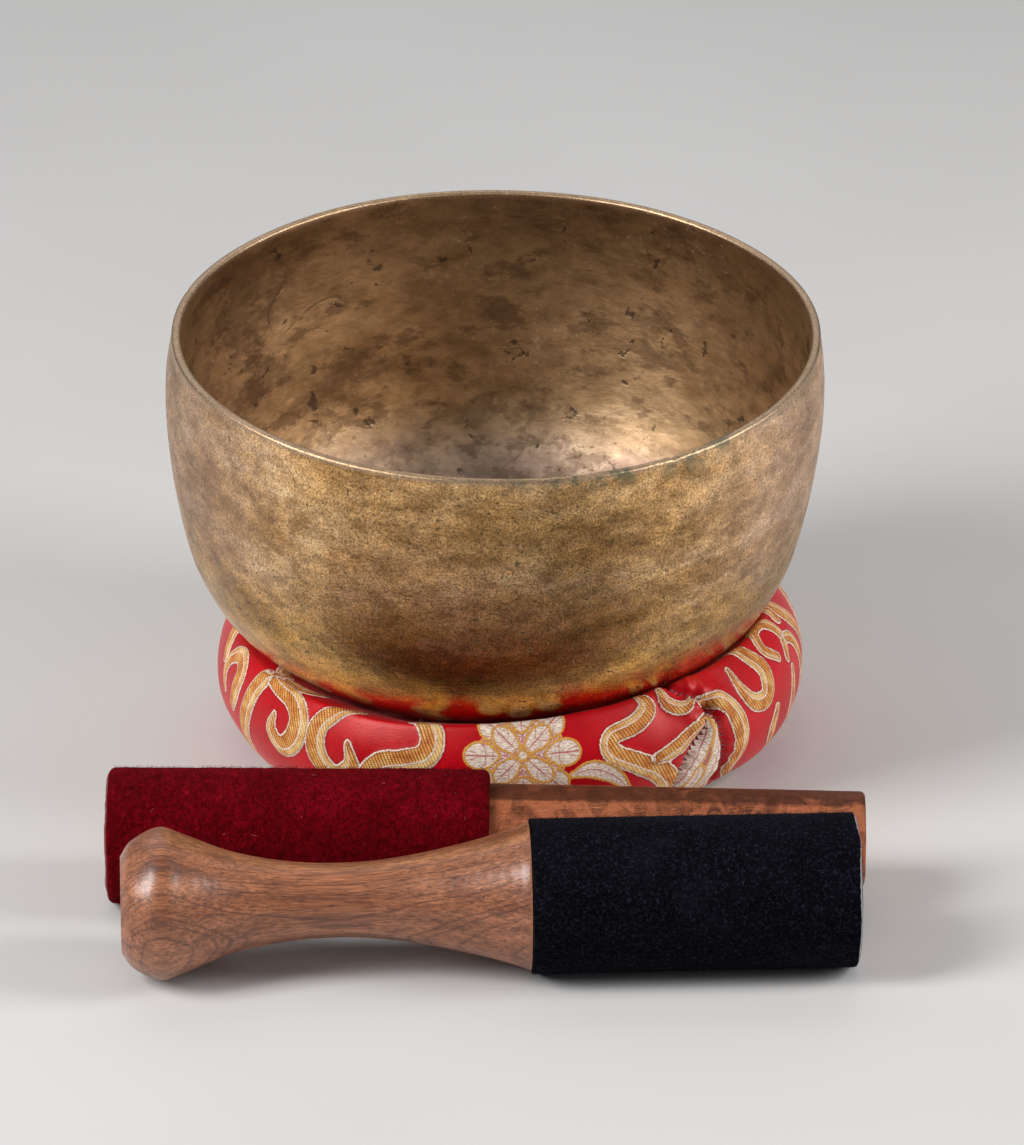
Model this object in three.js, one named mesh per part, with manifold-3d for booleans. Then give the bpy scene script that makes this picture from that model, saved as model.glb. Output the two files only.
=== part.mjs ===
// A singing bowl set: a hand-hammered bronze bowl that leans a little on its brocade ring cushion,
// with a felt-wrapped striker and a suede-wrapped mallet lying side by side in front of it.
// Millimetres, +Z up, +X along the mallets and -Y toward the player. Until the last lines, every
// place is measured from the middle of the cushion's underside.
import * as THREE from "three";
import { mergeVertices } from "three/addons/utils/BufferGeometryUtils.js";
import Module from "manifold-3d";

const wasm = await Module();
wasm.setup();

const GAP = 0.3; // clearance between pieces that touch
const degrees = THREE.MathUtils.degToRad;
const upward = new THREE.Vector3(0, 0, 1);

// Bowl
const BOWL_BASE = new THREE.Vector3(-5.4, 0.8, 24.5); // middle of the outer bottom
const BOWL_LEAN_FORWARD = degrees(4.5); // toward the player
const BOWL_LEAN_RIGHT = degrees(0.95);
const OUT_OF_ROUND = 0.0138; // half the difference between the long and short diameters, as a share
const LONG_DIAMETER_AT = degrees(31);
const BOTTOM_WALL = 3.4;
const SIDE_WALL = 2.8;
const RIM_WIDTH = 2.4;
const BOWL_STEPS = 14; // facets up the wall
const BOWL_SEGMENTS = 48; // facets round it
const BOWL_OUTLINE = [
  [26, 0], // edge of the flat bottom: radius, height
  [44, 1.9],
  [60, 8],
  [73.2, 18], // lower corner
  [81.1, 31],
  [85.3, 46],
  [88.2, 66],
  [88.8, 83], // widest, a little below the rim
  [87.3, 96], // rim
];
const BULGE_HEIGHT = 80;

// Ring cushion
const RING_RADIUS = 59.4; // where the stuffed section is tallest
const OUTER_HALF_WIDTH = 22;
const INNER_HALF_WIDTH = 31.4;
const SECTION_MIDDLE = 22; // height of the outermost bulge
const INNER_DROP = 8; // how much lower the inner bulge lies
const UNDERSIDE_PRESS = 1.2; // how much of the round section is pressed flat on the table
const COVER_THICKNESS = 2;
const BOWL_GAP = 0.9; // clearance under the bowl, more than the facets' depth
const FILLING_GAP = 0.9; // clearance of the stuffing inside the cover
const SECTION_STEPS = 20;
const RING_SEGMENTS = 44;
const SEAM_GAP = 1.6;
const SEAM_HALF_ANGLE = 0.042; // half the seam's gap, as seen from the middle of the section
const THREAD_RADIUS = 0.35;
const INNER_SEAM_AT = degrees(-150); // place on the section, inside the ring and low down
const GUSSET_AT = degrees(-48); // place round the ring
const GUSSET_INNER_RADIUS = 72;
const GUSSET_TOP = 33.5; // height of the wedge's point
const GUSSET_SEAM_SPAN = [degrees(18), degrees(-42)]; // from its top down, on the section
const GUSSET_SEAM_POINTS = 7;
const WEDGE_FOOT_HEIGHT = -2;
const WEDGE_DEPTH = 40;
const GUSSET_FOOT = [-12, 6.5]; // where its sides meet the table, sideways from the point

// Felt striker: a tapered stick with a thick felt sleeve on its left half
const FELT_END = new THREE.Vector3(-106.4, -107.0, 18);
const FELT_TURN = degrees(-0.6);
const STICK_LENGTH = 200;
const STICK_RADII = [14.3, 12.6];
const FELT_LENGTH = 101;
const FELT_RADIUS = 18;
const FELT_SOFTNESS = 2.2; // roundness of the sleeve's ends
const STICK_CHAMFERS = [1, 1.2];

// Suede mallet: a turned handle with a pommel, and a suede sleeve on its right half
const SUEDE_END = new THREE.Vector3(-101.0, -151.9, 20.15);
const SUEDE_TURN = degrees(2.6);
const MALLET_LENGTH = 191.4;
const SUEDE_START = 106.2;
const SUEDE_RADIUS = 20.15;
const SUEDE_CORE_RADIUS = 18.3;
const SUEDE_SOFTNESS = 0.4;
const END_RECESS = 0.8; // the wood stops this far inside the sleeves' ends
const END_CHAMFER = 1;
const BUTT_JOINT_AT = degrees(50); // where a sleeve's long edges meet, round the mallet
const MALLET_SEGMENTS = 28;
const HANDLE_OUTLINE = [
  [12.6, 0], // radius, distance from the pommel's face
  [16.6, 3],
  [19.9, 10],
  [17.9, 16.6],
  [13.3, 28.6],
  [10.6, 42],
  [9.7, 56],
  [10.6, 70],
  [13.7, 87],
  [17.2, 100],
  [19.3, 106],
];
const HANDLE_STEPS = 20;

function material(color, roughness, metalness = 0) {
  return new THREE.MeshStandardMaterial({ color, roughness, metalness });
}

const bronze = material(0x8c6f3f, 0.35, 1);
const brocade = material(0xb01025, 0.5);
const silverBrocade = material(0xb9ae9c, 0.5);
const stuffing = material(0xe4dcc8, 0.9);
const redThread = material(0x5e0b14, 0.7);
const walnut = material(0x8a5136, 0.45);
const felt = material(0x7a0616, 0.95);
const suede = material(0x17181c, 0.9);

// A mesh with shared vertices, no collapsed triangles, and its faces pointing out.
function closed(geometry) {
  geometry.deleteAttribute("normal");
  geometry.deleteAttribute("uv");
  const merged = mergeVertices(geometry, 1e-3);
  const corners = merged.index.array;
  const at = (i) => new THREE.Vector3().fromBufferAttribute(merged.attributes.position, i);
  const triangles = [];
  let volume = 0;
  for (let i = 0; i < corners.length; i += 3) {
    const [a, b, c] = corners.slice(i, i + 3);
    if (a === b || b === c || c === a) continue;
    triangles.push([a, b, c]);
    volume += at(a).dot(at(b).cross(at(c)));
  }
  if (volume < 0) triangles.forEach((triangle) => triangle.reverse());
  merged.setIndex(triangles.flat());
  return merged;
}

function toSolid(geometry) {
  const mesh = closed(geometry);
  return new wasm.Manifold(
    new wasm.Mesh({
      numProp: 3,
      vertProperties: new Float32Array(mesh.attributes.position.array),
      triVerts: new Uint32Array(mesh.index.array),
    }),
  );
}

function fromSolid(solid) {
  const mesh = solid.getMesh();
  const geometry = new THREE.BufferGeometry();
  geometry.setAttribute("position", new THREE.BufferAttribute(new Float32Array(mesh.vertProperties), 3));
  geometry.setIndex([...mesh.triVerts]);
  return geometry;
}

// Turns an outline of [radius, height] points round the Z axis.
function turned(outline, segments) {
  const points = outline.map(([radius, height]) => new THREE.Vector2(radius, height));
  return new THREE.LatheGeometry(points, segments).rotateX(Math.PI / 2);
}

function smooth(outline, steps) {
  const curve = new THREE.SplineCurve(outline.map(([x, y]) => new THREE.Vector2(x, y)));
  return curve.getSpacedPoints(steps).map((point) => [point.x, point.y]);
}

function piece(name, geometry, look) {
  const mesh = new THREE.Mesh(closed(geometry), look);
  mesh.geometry.computeVertexNormals();
  mesh.name = name;
  return mesh;
}

// Bowl ---------------------------------------------------------------------------------------
const bowlOuter = smooth(BOWL_OUTLINE, BOWL_STEPS);

// The inside follows the outside at the wall's thickness, which thins toward the rim.
function bowlInner() {
  return bowlOuter.map(([radius, height], i) => {
    const [r0, h0] = bowlOuter[Math.max(0, i - 1)];
    const [r1, h1] = bowlOuter[Math.min(bowlOuter.length - 1, i + 1)];
    const along = new THREE.Vector2(r1 - r0, h1 - h0).normalize();
    const share = i / (bowlOuter.length - 1);
    const rimSide = THREE.MathUtils.lerp(SIDE_WALL, RIM_WIDTH, THREE.MathUtils.smoothstep(share, 0.6, 1));
    const wall = THREE.MathUtils.lerp(BOTTOM_WALL, rimSide, Math.min(1, share * 2));
    return [radius - along.y * wall, height + along.x * wall];
  });
}

function bowlGeometry() {
  const [rimRadius, rimHeight] = bowlOuter.at(-1);
  const inner = bowlInner().reverse();
  inner[0] = [rimRadius - RIM_WIDTH, rimHeight];
  const outline = [[0, 0], ...bowlOuter, ...inner, [0, BOTTOM_WALL]];
  return turned(outline, BOWL_SEGMENTS)
    .rotateZ(-LONG_DIAMETER_AT)
    .scale(1 + OUT_OF_ROUND, 1 - OUT_OF_ROUND, 1)
    .rotateZ(LONG_DIAMETER_AT);
}

const bowl = piece("bowl", bowlGeometry(), bronze);
bowl.position.copy(BOWL_BASE);
bowl.rotation.set(BOWL_LEAN_FORWARD, BOWL_LEAN_RIGHT, 0, "XYZ");
bowl.updateMatrix();
const intoBowl = bowl.matrix.clone().invert();

// Height of the outline at a radius. Past the bowl's bulge the last facet below it carries on.
function outlineHeight(radius) {
  const above = bowlOuter.findIndex(([r, h]) => r >= radius || h >= BULGE_HEIGHT);
  if (above === 0) return 0;
  const [r0, h0] = bowlOuter[above - 1];
  const [r1, h1] = bowlOuter[above];
  return THREE.MathUtils.lerp(h0, h1, (radius - r0) / (r1 - r0));
}

// Height of the leaning bowl's underside above a point of the table.
function undersideAt(x, y) {
  const point = new THREE.Vector3(x, y, 0);
  for (let pass = 0; pass < 8; pass += 1) {
    const local = point.clone().applyMatrix4(intoBowl);
    const height = local.z;
    local.setZ(0).applyAxisAngle(upward, -LONG_DIAMETER_AT);
    const radius = Math.hypot(local.x / (1 + OUT_OF_ROUND), local.y / (1 - OUT_OF_ROUND));
    point.z += outlineHeight(radius) - height;
  }
  return point.z;
}

// Cushion ------------------------------------------------------------------------------------
// A point of the stuffed section, `inset` below its surface: [radius, height].
function sectionPoint(angle, inset) {
  const across = Math.cos(angle);
  const inward = Math.max(0, -across);
  const middle = SECTION_MIDDLE - INNER_DROP * inward ** 2;
  const halfWidth = across > 0 ? OUTER_HALF_WIDTH : INNER_HALF_WIDTH;
  const height = middle + (middle + UNDERSIDE_PRESS - inset) * Math.sin(angle);
  return [RING_RADIUS + (halfWidth - inset) * across, Math.max(inset, height)];
}

// The cover is a tube of cloth whose long edges meet at the seam inside the ring.
function coverArc(inset) {
  const from = INNER_SEAM_AT + SEAM_HALF_ANGLE;
  const to = INNER_SEAM_AT + 2 * Math.PI - SEAM_HALF_ANGLE;
  return Array.from({ length: SECTION_STEPS + 1 }, (_, i) =>
    sectionPoint(THREE.MathUtils.lerp(from, to, i / SECTION_STEPS), inset),
  );
}

// Turns a closed section round the ring and lets the bowl press its top down.
function pressedRing(section, insets) {
  const ring = turned([...section, section[0]], RING_SEGMENTS);
  const at = ring.attributes.position;
  for (let i = 0; i < at.count; i += 1) {
    const inset = insets[(i % (section.length + 1)) % section.length];
    const limit = undersideAt(at.getX(i), at.getY(i)) - BOWL_GAP - inset;
    at.setZ(i, Math.min(at.getZ(i), limit));
  }
  return ring;
}

function coverSolid() {
  const outside = coverArc(0);
  const inside = coverArc(COVER_THICKNESS).reverse();
  const insets = [...outside.map(() => 0), ...inside.map(() => COVER_THICKNESS)];
  return toSolid(pressedRing([...outside, ...inside], insets));
}

function filling() {
  const inset = COVER_THICKNESS + FILLING_GAP;
  const section = coverArc(inset);
  return pressedRing(section, section.map(() => inset));
}

// The wedge is cut from the ring by a triangle that stands on the table and faces outward, with
// each of its sides moved in by `inset`.
function wedge(inset) {
  const [left, right] = GUSSET_FOOT;
  const share = (2 * inset) / (right - left);
  const triangle = new THREE.Shape();
  triangle.moveTo(left * share + inset, THREE.MathUtils.lerp(GUSSET_TOP, WEDGE_FOOT_HEIGHT, share));
  triangle.lineTo(left + inset, WEDGE_FOOT_HEIGHT);
  triangle.lineTo(right - inset, WEDGE_FOOT_HEIGHT);
  const prism = new THREE.ExtrudeGeometry(triangle, { depth: WEDGE_DEPTH, bevelEnabled: false });
  prism.rotateX(Math.PI / 2).translate(0, -GUSSET_INNER_RADIUS, 0);
  return prism.rotateZ(GUSSET_AT + Math.PI / 2);
}

function threadAlong(points, steps, loop = false) {
  const path = new THREE.CatmullRomCurve3(points, loop);
  const section = new THREE.Shape().absarc(0, 0, THREAD_RADIUS, 0, 2 * Math.PI);
  return new THREE.ExtrudeGeometry(section, { steps, extrudePath: path, curveSegments: 3 });
}

// One side of the wedge, followed by its row of stitches half-way through the cover.
function gussetSeam(foot) {
  const points = Array.from({ length: GUSSET_SEAM_POINTS }, (_, i) => {
    const angle = THREE.MathUtils.lerp(...GUSSET_SEAM_SPAN, i / (GUSSET_SEAM_POINTS - 1));
    const [radius, height] = sectionPoint(angle, COVER_THICKNESS / 2);
    const share = (GUSSET_TOP - height) / (GUSSET_TOP - WEDGE_FOOT_HEIGHT);
    const side = foot * share - (Math.sign(foot) * SEAM_GAP) / 2;
    const out = Math.sqrt(radius ** 2 - side ** 2);
    return new THREE.Vector3(side, -out, height).applyAxisAngle(upward, GUSSET_AT + Math.PI / 2);
  });
  return threadAlong(points, 2 * GUSSET_SEAM_POINTS);
}

function innerSeam() {
  const [radius, height] = sectionPoint(INNER_SEAM_AT, COVER_THICKNESS / 2);
  const points = Array.from({ length: RING_SEGMENTS }, (_, i) =>
    new THREE.Vector3(radius, 0, height).applyAxisAngle(upward, (i / RING_SEGMENTS) * 2 * Math.PI),
  );
  return threadAlong(points, RING_SEGMENTS, true);
}

const wholeCover = coverSolid();
const cushion = new THREE.Group();
cushion.add(
  piece("cushion_cover", fromSolid(wholeCover.subtract(toSolid(wedge(0)))), brocade),
  piece("cushion_gusset", fromSolid(wholeCover.intersect(toSolid(wedge(SEAM_GAP)))), silverBrocade),
  piece("cushion_filling", filling(), stuffing),
  piece("cover_inner_seam", innerSeam(), redThread),
  piece("gusset_left_seam", gussetSeam(GUSSET_FOOT[0]), redThread),
  piece("gusset_right_seam", gussetSeam(GUSSET_FOOT[1]), redThread),
);

// Mallets ------------------------------------------------------------------------------------
// A wrapped sleeve with soft outer corners, and the slit where its two long edges meet.
function sleeve(inner, outer, length, softness) {
  const corner = softness * 0.3;
  const section = [
    [inner, 0],
    [outer - softness, 0],
    [outer - corner, corner],
    [outer, softness],
    [outer, length - softness],
    [outer - corner, length - corner],
    [outer - softness, length],
    [inner, length],
    [inner, 0],
  ];
  const slit = new THREE.BoxGeometry(outer, 2 * GAP, length + 2).translate(outer, 0, length / 2);
  slit.rotateZ(BUTT_JOINT_AT);
  return fromSolid(toSolid(turned(section, MALLET_SEGMENTS)).subtract(toSolid(slit)));
}

function mallet(end, turn, pieces) {
  const group = new THREE.Group();
  group.add(...pieces);
  group.position.copy(end);
  group.rotation.set(0, Math.PI / 2, turn, "ZYX");
  return group;
}

const [stickLeft, stickRight] = STICK_RADII;
const [chamferLeft, chamferRight] = STICK_CHAMFERS;
const stickOutline = [
  [0, END_RECESS],
  [stickLeft - chamferLeft, END_RECESS],
  [stickLeft, END_RECESS + chamferLeft],
  [stickLeft, FELT_LENGTH],
  [stickRight, STICK_LENGTH - chamferRight],
  [stickRight - chamferRight, STICK_LENGTH],
  [0, STICK_LENGTH],
];
const feltMallet = mallet(FELT_END, FELT_TURN, [
  piece("felt_mallet_stick", turned(stickOutline, MALLET_SEGMENTS), walnut),
  piece("felt_sleeve", sleeve(stickLeft + GAP, FELT_RADIUS, FELT_LENGTH, FELT_SOFTNESS), felt),
]);

const coreEnd = MALLET_LENGTH - END_RECESS;
const handleOutline = [
  [0, 0],
  ...smooth(HANDLE_OUTLINE, HANDLE_STEPS),
  [SUEDE_CORE_RADIUS, HANDLE_OUTLINE.at(-1)[1]],
  [SUEDE_CORE_RADIUS, coreEnd - END_CHAMFER],
  [SUEDE_CORE_RADIUS - END_CHAMFER, coreEnd],
  [0, coreEnd],
];
const suedeLength = MALLET_LENGTH - SUEDE_START;
const suedeSleeve = sleeve(SUEDE_CORE_RADIUS + GAP, SUEDE_RADIUS, suedeLength, SUEDE_SOFTNESS);
const suedeMallet = mallet(SUEDE_END, SUEDE_TURN, [
  piece("suede_mallet_handle", turned(handleOutline, MALLET_SEGMENTS), walnut),
  piece("suede_sleeve", suedeSleeve.translate(0, 0, SUEDE_START), suede),
]);

// The set stands on the table with the origin under the middle of its box.
const set = new THREE.Group();
set.add(cushion, bowl, feltMallet, suedeMallet);
const box = new THREE.Box3().setFromObject(set, true);
const middle = box.getCenter(new THREE.Vector3());
set.position.set(-middle.x, -middle.y, -box.min.z);

export default set;
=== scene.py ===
"""The looks of the singing bowl set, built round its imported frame. Everything is in metres."""
import math
from functools import partialmethod
from itertools import product

import bpy
import numpy as np
from mathutils import Euler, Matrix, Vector


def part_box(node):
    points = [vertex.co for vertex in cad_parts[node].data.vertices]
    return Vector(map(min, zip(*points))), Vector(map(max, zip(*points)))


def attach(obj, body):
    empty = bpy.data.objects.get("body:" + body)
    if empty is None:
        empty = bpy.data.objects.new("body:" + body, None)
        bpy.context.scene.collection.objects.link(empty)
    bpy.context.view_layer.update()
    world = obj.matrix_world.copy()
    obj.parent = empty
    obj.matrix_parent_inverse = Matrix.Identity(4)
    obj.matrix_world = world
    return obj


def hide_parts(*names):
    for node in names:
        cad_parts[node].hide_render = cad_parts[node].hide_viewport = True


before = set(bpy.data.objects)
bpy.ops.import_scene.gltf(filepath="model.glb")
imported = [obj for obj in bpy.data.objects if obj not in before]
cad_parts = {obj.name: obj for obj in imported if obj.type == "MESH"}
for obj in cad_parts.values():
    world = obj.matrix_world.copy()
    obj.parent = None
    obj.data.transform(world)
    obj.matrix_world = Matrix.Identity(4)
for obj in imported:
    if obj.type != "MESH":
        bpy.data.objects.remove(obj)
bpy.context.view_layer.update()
MM = 0.001

# ---- Places, all measured from the middle of the cushion's underside ----
low, high = (np.array(corner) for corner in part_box("cushion_cover"))
RING = np.array([*(low + high)[:2] / 2, 0])
BOWL_BASE = RING + np.array([-5.4, 0.8, 24.5]) * MM
BOWL_LEAN = Euler((math.radians(4.5), math.radians(0.95), 0), "XYZ").to_matrix()
# The body, left end and turn of each mallet
STRIKER = "felt_mallet", RING + np.array([-106.4, -107.0, 18]) * MM, math.radians(-0.6)
MALLET = "suede_mallet", RING + np.array([-101.0, -151.9, 20.15]) * MM, math.radians(2.6)

# The camera stands well back with a long lens, a little above the bowl
CAMERA = RING + np.array([0.4, -2005.7, 953.6]) * MM
CAMERA_PITCH = math.radians(24.35)
CAMERA_LENS = 251.5
CAMERA_SENSOR = 36


# ---- Curves and noise ----
def between(before, start, end, after, share):
    """The place at `share` of the way on a smooth curve through four points."""
    return 0.5 * (2 * start + (end - before) * share + (2 * before - 5 * start + 4 * end - after) * share**2
                  + (3 * start - before - 3 * end + after) * share**3)


def spline(points, count):
    """Evenly spaced points on a smooth curve through the given ones."""
    points = np.asarray(points, float)
    padded = np.vstack([2 * points[0] - points[1], points, 2 * points[-1] - points[-2]])
    fine = [between(*knots, share) for knots in zip(padded, padded[1:], padded[2:], padded[3:])
            for share in np.linspace(0, 1, 24, endpoint=False)]
    return resample(np.array([*fine, points[-1]]), count)


def resample(points, count):
    along = np.concatenate([[0], np.cumsum(np.linalg.norm(np.diff(points, axis=0), axis=1))])
    spaced = np.linspace(0, along[-1], count)
    return np.stack([np.interp(spaced, along, axis) for axis in points.T], -1)


def unit(vectors):
    return vectors / np.linalg.norm(vectors, axis=-1, keepdims=True)


def full_turn(count):
    """Evenly spaced angles once round."""
    return np.arange(count) / count * 2 * math.pi


def turned_by(x, y, angle):
    cos, sin = math.cos(angle), math.sin(angle)
    return x * cos - y * sin, x * sin + y * cos


def polar(radius, turn, height):
    return np.stack(np.broadcast_arrays(radius * np.cos(turn), radius * np.sin(turn), height), -1)


def smoothstep(value, low, high):
    share = np.clip((value - low) / (high - low), 0, 1)
    return share * share * (3 - 2 * share)


def lattice(cells, seed):
    """A repeatable random number from 0 to 1 for each whole-number cell."""
    mixed = cells @ np.array([127.1, 311.7, 74.7]) + seed * 53.3
    return np.modf(np.abs(np.sin(mixed) * 43758.5453))[0]


def soft_noise(points, size, seed=0):
    """Smooth noise from -1 to 1, with features about `size` across (a number or one per axis)."""
    spot = points / size
    cell = np.floor(spot)
    share = spot - cell
    share = share * share * (3 - 2 * share)
    total = np.zeros(len(points))
    for corner in product((0, 1), repeat=3):
        weight = np.prod(np.where(corner, share, 1 - share), axis=1)
        total += weight * lattice(cell + corner, seed)
    return 2 * total - 1


def hammer_marks(points, size, seed=0):
    """Round dents, 1 in the middle of each and 0 at its edge, packed about `size` apart."""
    spot = points / size
    cell = np.floor(spot)
    nearest = np.full(len(points), 9.0)
    for corner in product((-1, 0, 1), repeat=3):
        near = cell + corner
        jitter = np.stack([lattice(near, seed + k) for k in range(3)], -1)
        nearest = np.minimum(nearest, np.linalg.norm(near + jitter - spot, axis=1))
    return np.clip(1 - (nearest / 0.75) ** 2, 0, 1)


# ---- Meshes ----
def new_object(name, data):
    thing = bpy.data.objects.new(name, data)
    bpy.context.scene.collection.objects.link(thing)
    return thing


def new_mesh(name, vertices, faces):
    data = bpy.data.meshes.new(name)
    data.from_pydata(np.asarray(vertices, float).tolist(), [], faces)
    return data


def make_mesh(name, vertices, faces, fields=None):
    """A smooth mesh object; `fields` are numbers or vectors kept at each vertex for its material."""
    data = new_mesh(name, vertices, faces)
    data.polygons.foreach_set("use_smooth", [True] * len(data.polygons))
    for field, values in (fields or {}).items():
        kind, key = ("FLOAT_VECTOR", "vector") if np.ndim(values) == 2 else ("FLOAT", "value")
        data.attributes.new(field, kind, "POINT").data.foreach_set(key, np.ravel(values).astype(np.float32))
    return new_object(name, data)


def normals_of(vertices, faces):
    data = new_mesh("scratch", vertices, faces)
    normals = np.empty(len(vertices) * 3, np.float32)
    data.vertices.foreach_get("normal", normals)
    bpy.data.meshes.remove(data)
    return normals.reshape(-1, 3).astype(float)


def crossed(rows, columns):
    """The row and the column of each place of a grid, as flat arrays."""
    return (axis.ravel() for axis in np.meshgrid(rows, columns, indexing="ij"))


def grid_faces(rows, columns, wrap_rows, wrap_columns):
    index = np.arange(rows * columns).reshape(rows, columns)
    ahead = np.roll(index, -1, axis=0)
    corners = np.stack([index, ahead, np.roll(ahead, -1, axis=1), np.roll(index, -1, axis=1)], -1)
    kept = corners[: rows if wrap_rows else rows - 1, : columns if wrap_columns else columns - 1]
    return kept.reshape(-1, 4)


def grid_normals(grid):
    """Normals of a grid of points that wraps both ways."""
    along = np.roll(grid, -1, axis=0) - np.roll(grid, 1, axis=0)
    around = np.roll(grid, -1, axis=1) - np.roll(grid, 1, axis=1)
    return unit(np.cross(along, around))


def turned(outline, segments, closed=False):
    """Turns (radius, height) points round Z. Gives the vertices, the faces, and each vertex's
    turn and its place in the outline. Ends that lie on the axis become single vertices."""
    outline = np.asarray(outline, float)
    first = int(not closed and outline[0, 0] == 0)
    last = len(outline) - int(not closed and outline[-1, 0] == 0)
    turn, place = crossed(full_turn(segments), np.arange(first, last))
    vertices = polar(outline[place, 0], turn, outline[place, 1])
    rings = last - first
    faces = grid_faces(segments, rings, True, closed).tolist()
    for pole, ring, flip in ((0, 0, True), (len(outline) - 1, rings - 1, False)):
        if first <= pole < last:
            continue
        tip = len(vertices)
        vertices = np.vstack([vertices, [0, 0, outline[pole, 1]]])
        turn, place = np.append(turn, 0), np.append(place, pole)
        for i in range(segments):
            a, b = i * rings + ring, (i + 1) % segments * rings + ring
            faces.append([tip, b, a] if flip else [tip, a, b])
    return vertices, faces, turn, place


def tube(points, radius, sides):
    """Vertices and faces of a tube along the points, with narrowed ends."""
    ahead = np.roll(points, -1, axis=0) - np.roll(points, 1, axis=0)
    ahead[0], ahead[-1] = points[1] - points[0], points[-1] - points[-2]
    ahead = unit(ahead)
    side = unit(np.cross(ahead, [0.12, 0.31, 0.94]))
    up = np.cross(side, ahead)
    turn = full_turn(sides)
    girth = np.full(len(points), radius)
    girth[[0, -1]] *= 0.55
    ring = side[:, None] * np.cos(turn)[None, :, None] + up[:, None] * np.sin(turn)[None, :, None]
    vertices = (points[:, None] + ring * girth[:, None, None]).reshape(-1, 3)
    faces = grid_faces(len(points), sides, False, True).tolist()
    faces += [list(range(sides)), list(range(len(vertices) - 1, len(vertices) - 1 - sides, -1))]
    return vertices, faces


def joined(parts):
    """Several (vertices, faces) as one."""
    vertices, faces, start = [], [], 0
    for points, polygons in parts:
        vertices.append(points)
        faces += [[start + corner for corner in polygon] for polygon in polygons]
        start += len(points)
    return np.vstack(vertices), faces


def keep(piece, body, slot, material, *nodes):
    """Gives the finished piece its material, puts it on its body and hides the parts of the frame that it
    replaces.
    """
    piece.data.materials.append(material)
    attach(piece, body)
    if nodes:
        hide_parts(*nodes)


# ---- Materials ----
class Look:
    """A procedural material."""

    def __init__(self, name, **shader):
        self.material = bpy.data.materials.new(name)
        self.material.use_nodes = True
        self.tree = self.material.node_tree
        self.shader = self.tree.nodes["Principled BSDF"]
        self.finish(**shader)

    def finish(self, **shader):
        for key, value in shader.items():
            self.join(value, self.shader.inputs[key.replace("_", " ")])
        return self.material

    def join(self, value, socket):
        if isinstance(value, Value):
            self.tree.links.new(value.socket, socket)
        elif isinstance(value, tuple) and socket.type == "RGBA":
            socket.default_value = (*value, 1)
        else:
            socket.default_value = value

    def node(self, kind, inputs, **settings):
        node = self.tree.nodes.new("ShaderNode" + kind)
        for key, value in settings.items():
            setattr(node, key, value)
        for key, value in inputs.items():
            self.join(value, node.inputs[key])
        return node

    def add(self, kind, inputs, output, **settings):
        return Value(self, self.node(kind, inputs, **settings).outputs[output])

    def field(self, name, output="Fac"):
        return self.add("Attribute", {}, output, attribute_name=name)

    def place(self):
        return self.add("TexCoord", {}, "Object")


class Value:
    """What a node of a look gives. Arithmetic on it, and its methods, add further nodes."""

    def __init__(self, look, socket):
        self.look, self.socket = look, socket

    def math(self, operation, *others):
        return self.look.add("Math", dict(enumerate((self, *others))), 0, operation=operation)

    __add__ = partialmethod(math, "ADD")
    __sub__ = partialmethod(math, "SUBTRACT")
    __mul__ = partialmethod(math, "MULTIPLY")
    __abs__ = partialmethod(math, "ABSOLUTE")
    root = partialmethod(math, "SQRT")
    fraction = partialmethod(math, "FRACT")
    larger = partialmethod(math, "MAXIMUM")

    def __rsub__(self, other):
        return self.look.add("Math", {0: other, 1: self}, 0, operation="SUBTRACT")

    def axes(self):
        return [Value(self.look, axis) for axis in self.look.node("SeparateXYZ", {0: self}).outputs]

    def stretched(self, *scale):
        return self.look.add("Mapping", {"Vector": self, "Scale": scale}, 0)

    def noise(self, scale, detail, roughness=0.55, distortion=0.0):
        inputs = {"Vector": self, "Scale": scale, "Detail": detail, "Roughness": roughness,
                  "Distortion": distortion}
        return self.look.add("TexNoise", inputs, "Fac")

    def cells(self, scale):
        return self.look.add("TexVoronoi", {"Vector": self, "Scale": scale}, "Distance")

    def step(self, low, high, to_low=0.0, to_high=1.0):
        """A smooth step from `to_low` at `low` to `to_high` at `high`."""
        inputs = {"Value": self, "From Min": low, "From Max": high, "To Min": to_low, "To Max": to_high}
        return self.look.add("MapRange", inputs, "Result", interpolation_type="SMOOTHSTEP")

    def ramp(self, *stops):
        """A colour, from stops that each give a place and its red, green and blue."""
        node = self.look.node("ValToRGB", {"Fac": self})
        elements = node.color_ramp.elements
        elements.remove(elements[1])
        for i, (place, *color) in enumerate(stops):
            element = elements.new(place) if i else elements[0]
            element.position = place
            element.color = (*color, 1)
        return Value(self.look, node.outputs["Color"])

    def mixed(self, share, first, second, blend="MIX"):
        inputs = {0: share, 6: first, 7: second}
        return self.look.add("Mix", inputs, 2, data_type="RGBA", blend_type=blend)

    def choose(self, at_0, at_1):
        return self.mixed(self, at_0, at_1)

    def under(self, share, color):
        """This colour, covered by `color` as far as `share` says."""
        return self.mixed(share, self, color)

    def tinted(self, color):
        return self.mixed(1.0, self, color, "MULTIPLY")

    def bump(self, distance, strength):
        return self.look.add("Bump", {"Height": self, "Distance": distance, "Strength": strength}, "Normal")


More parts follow.
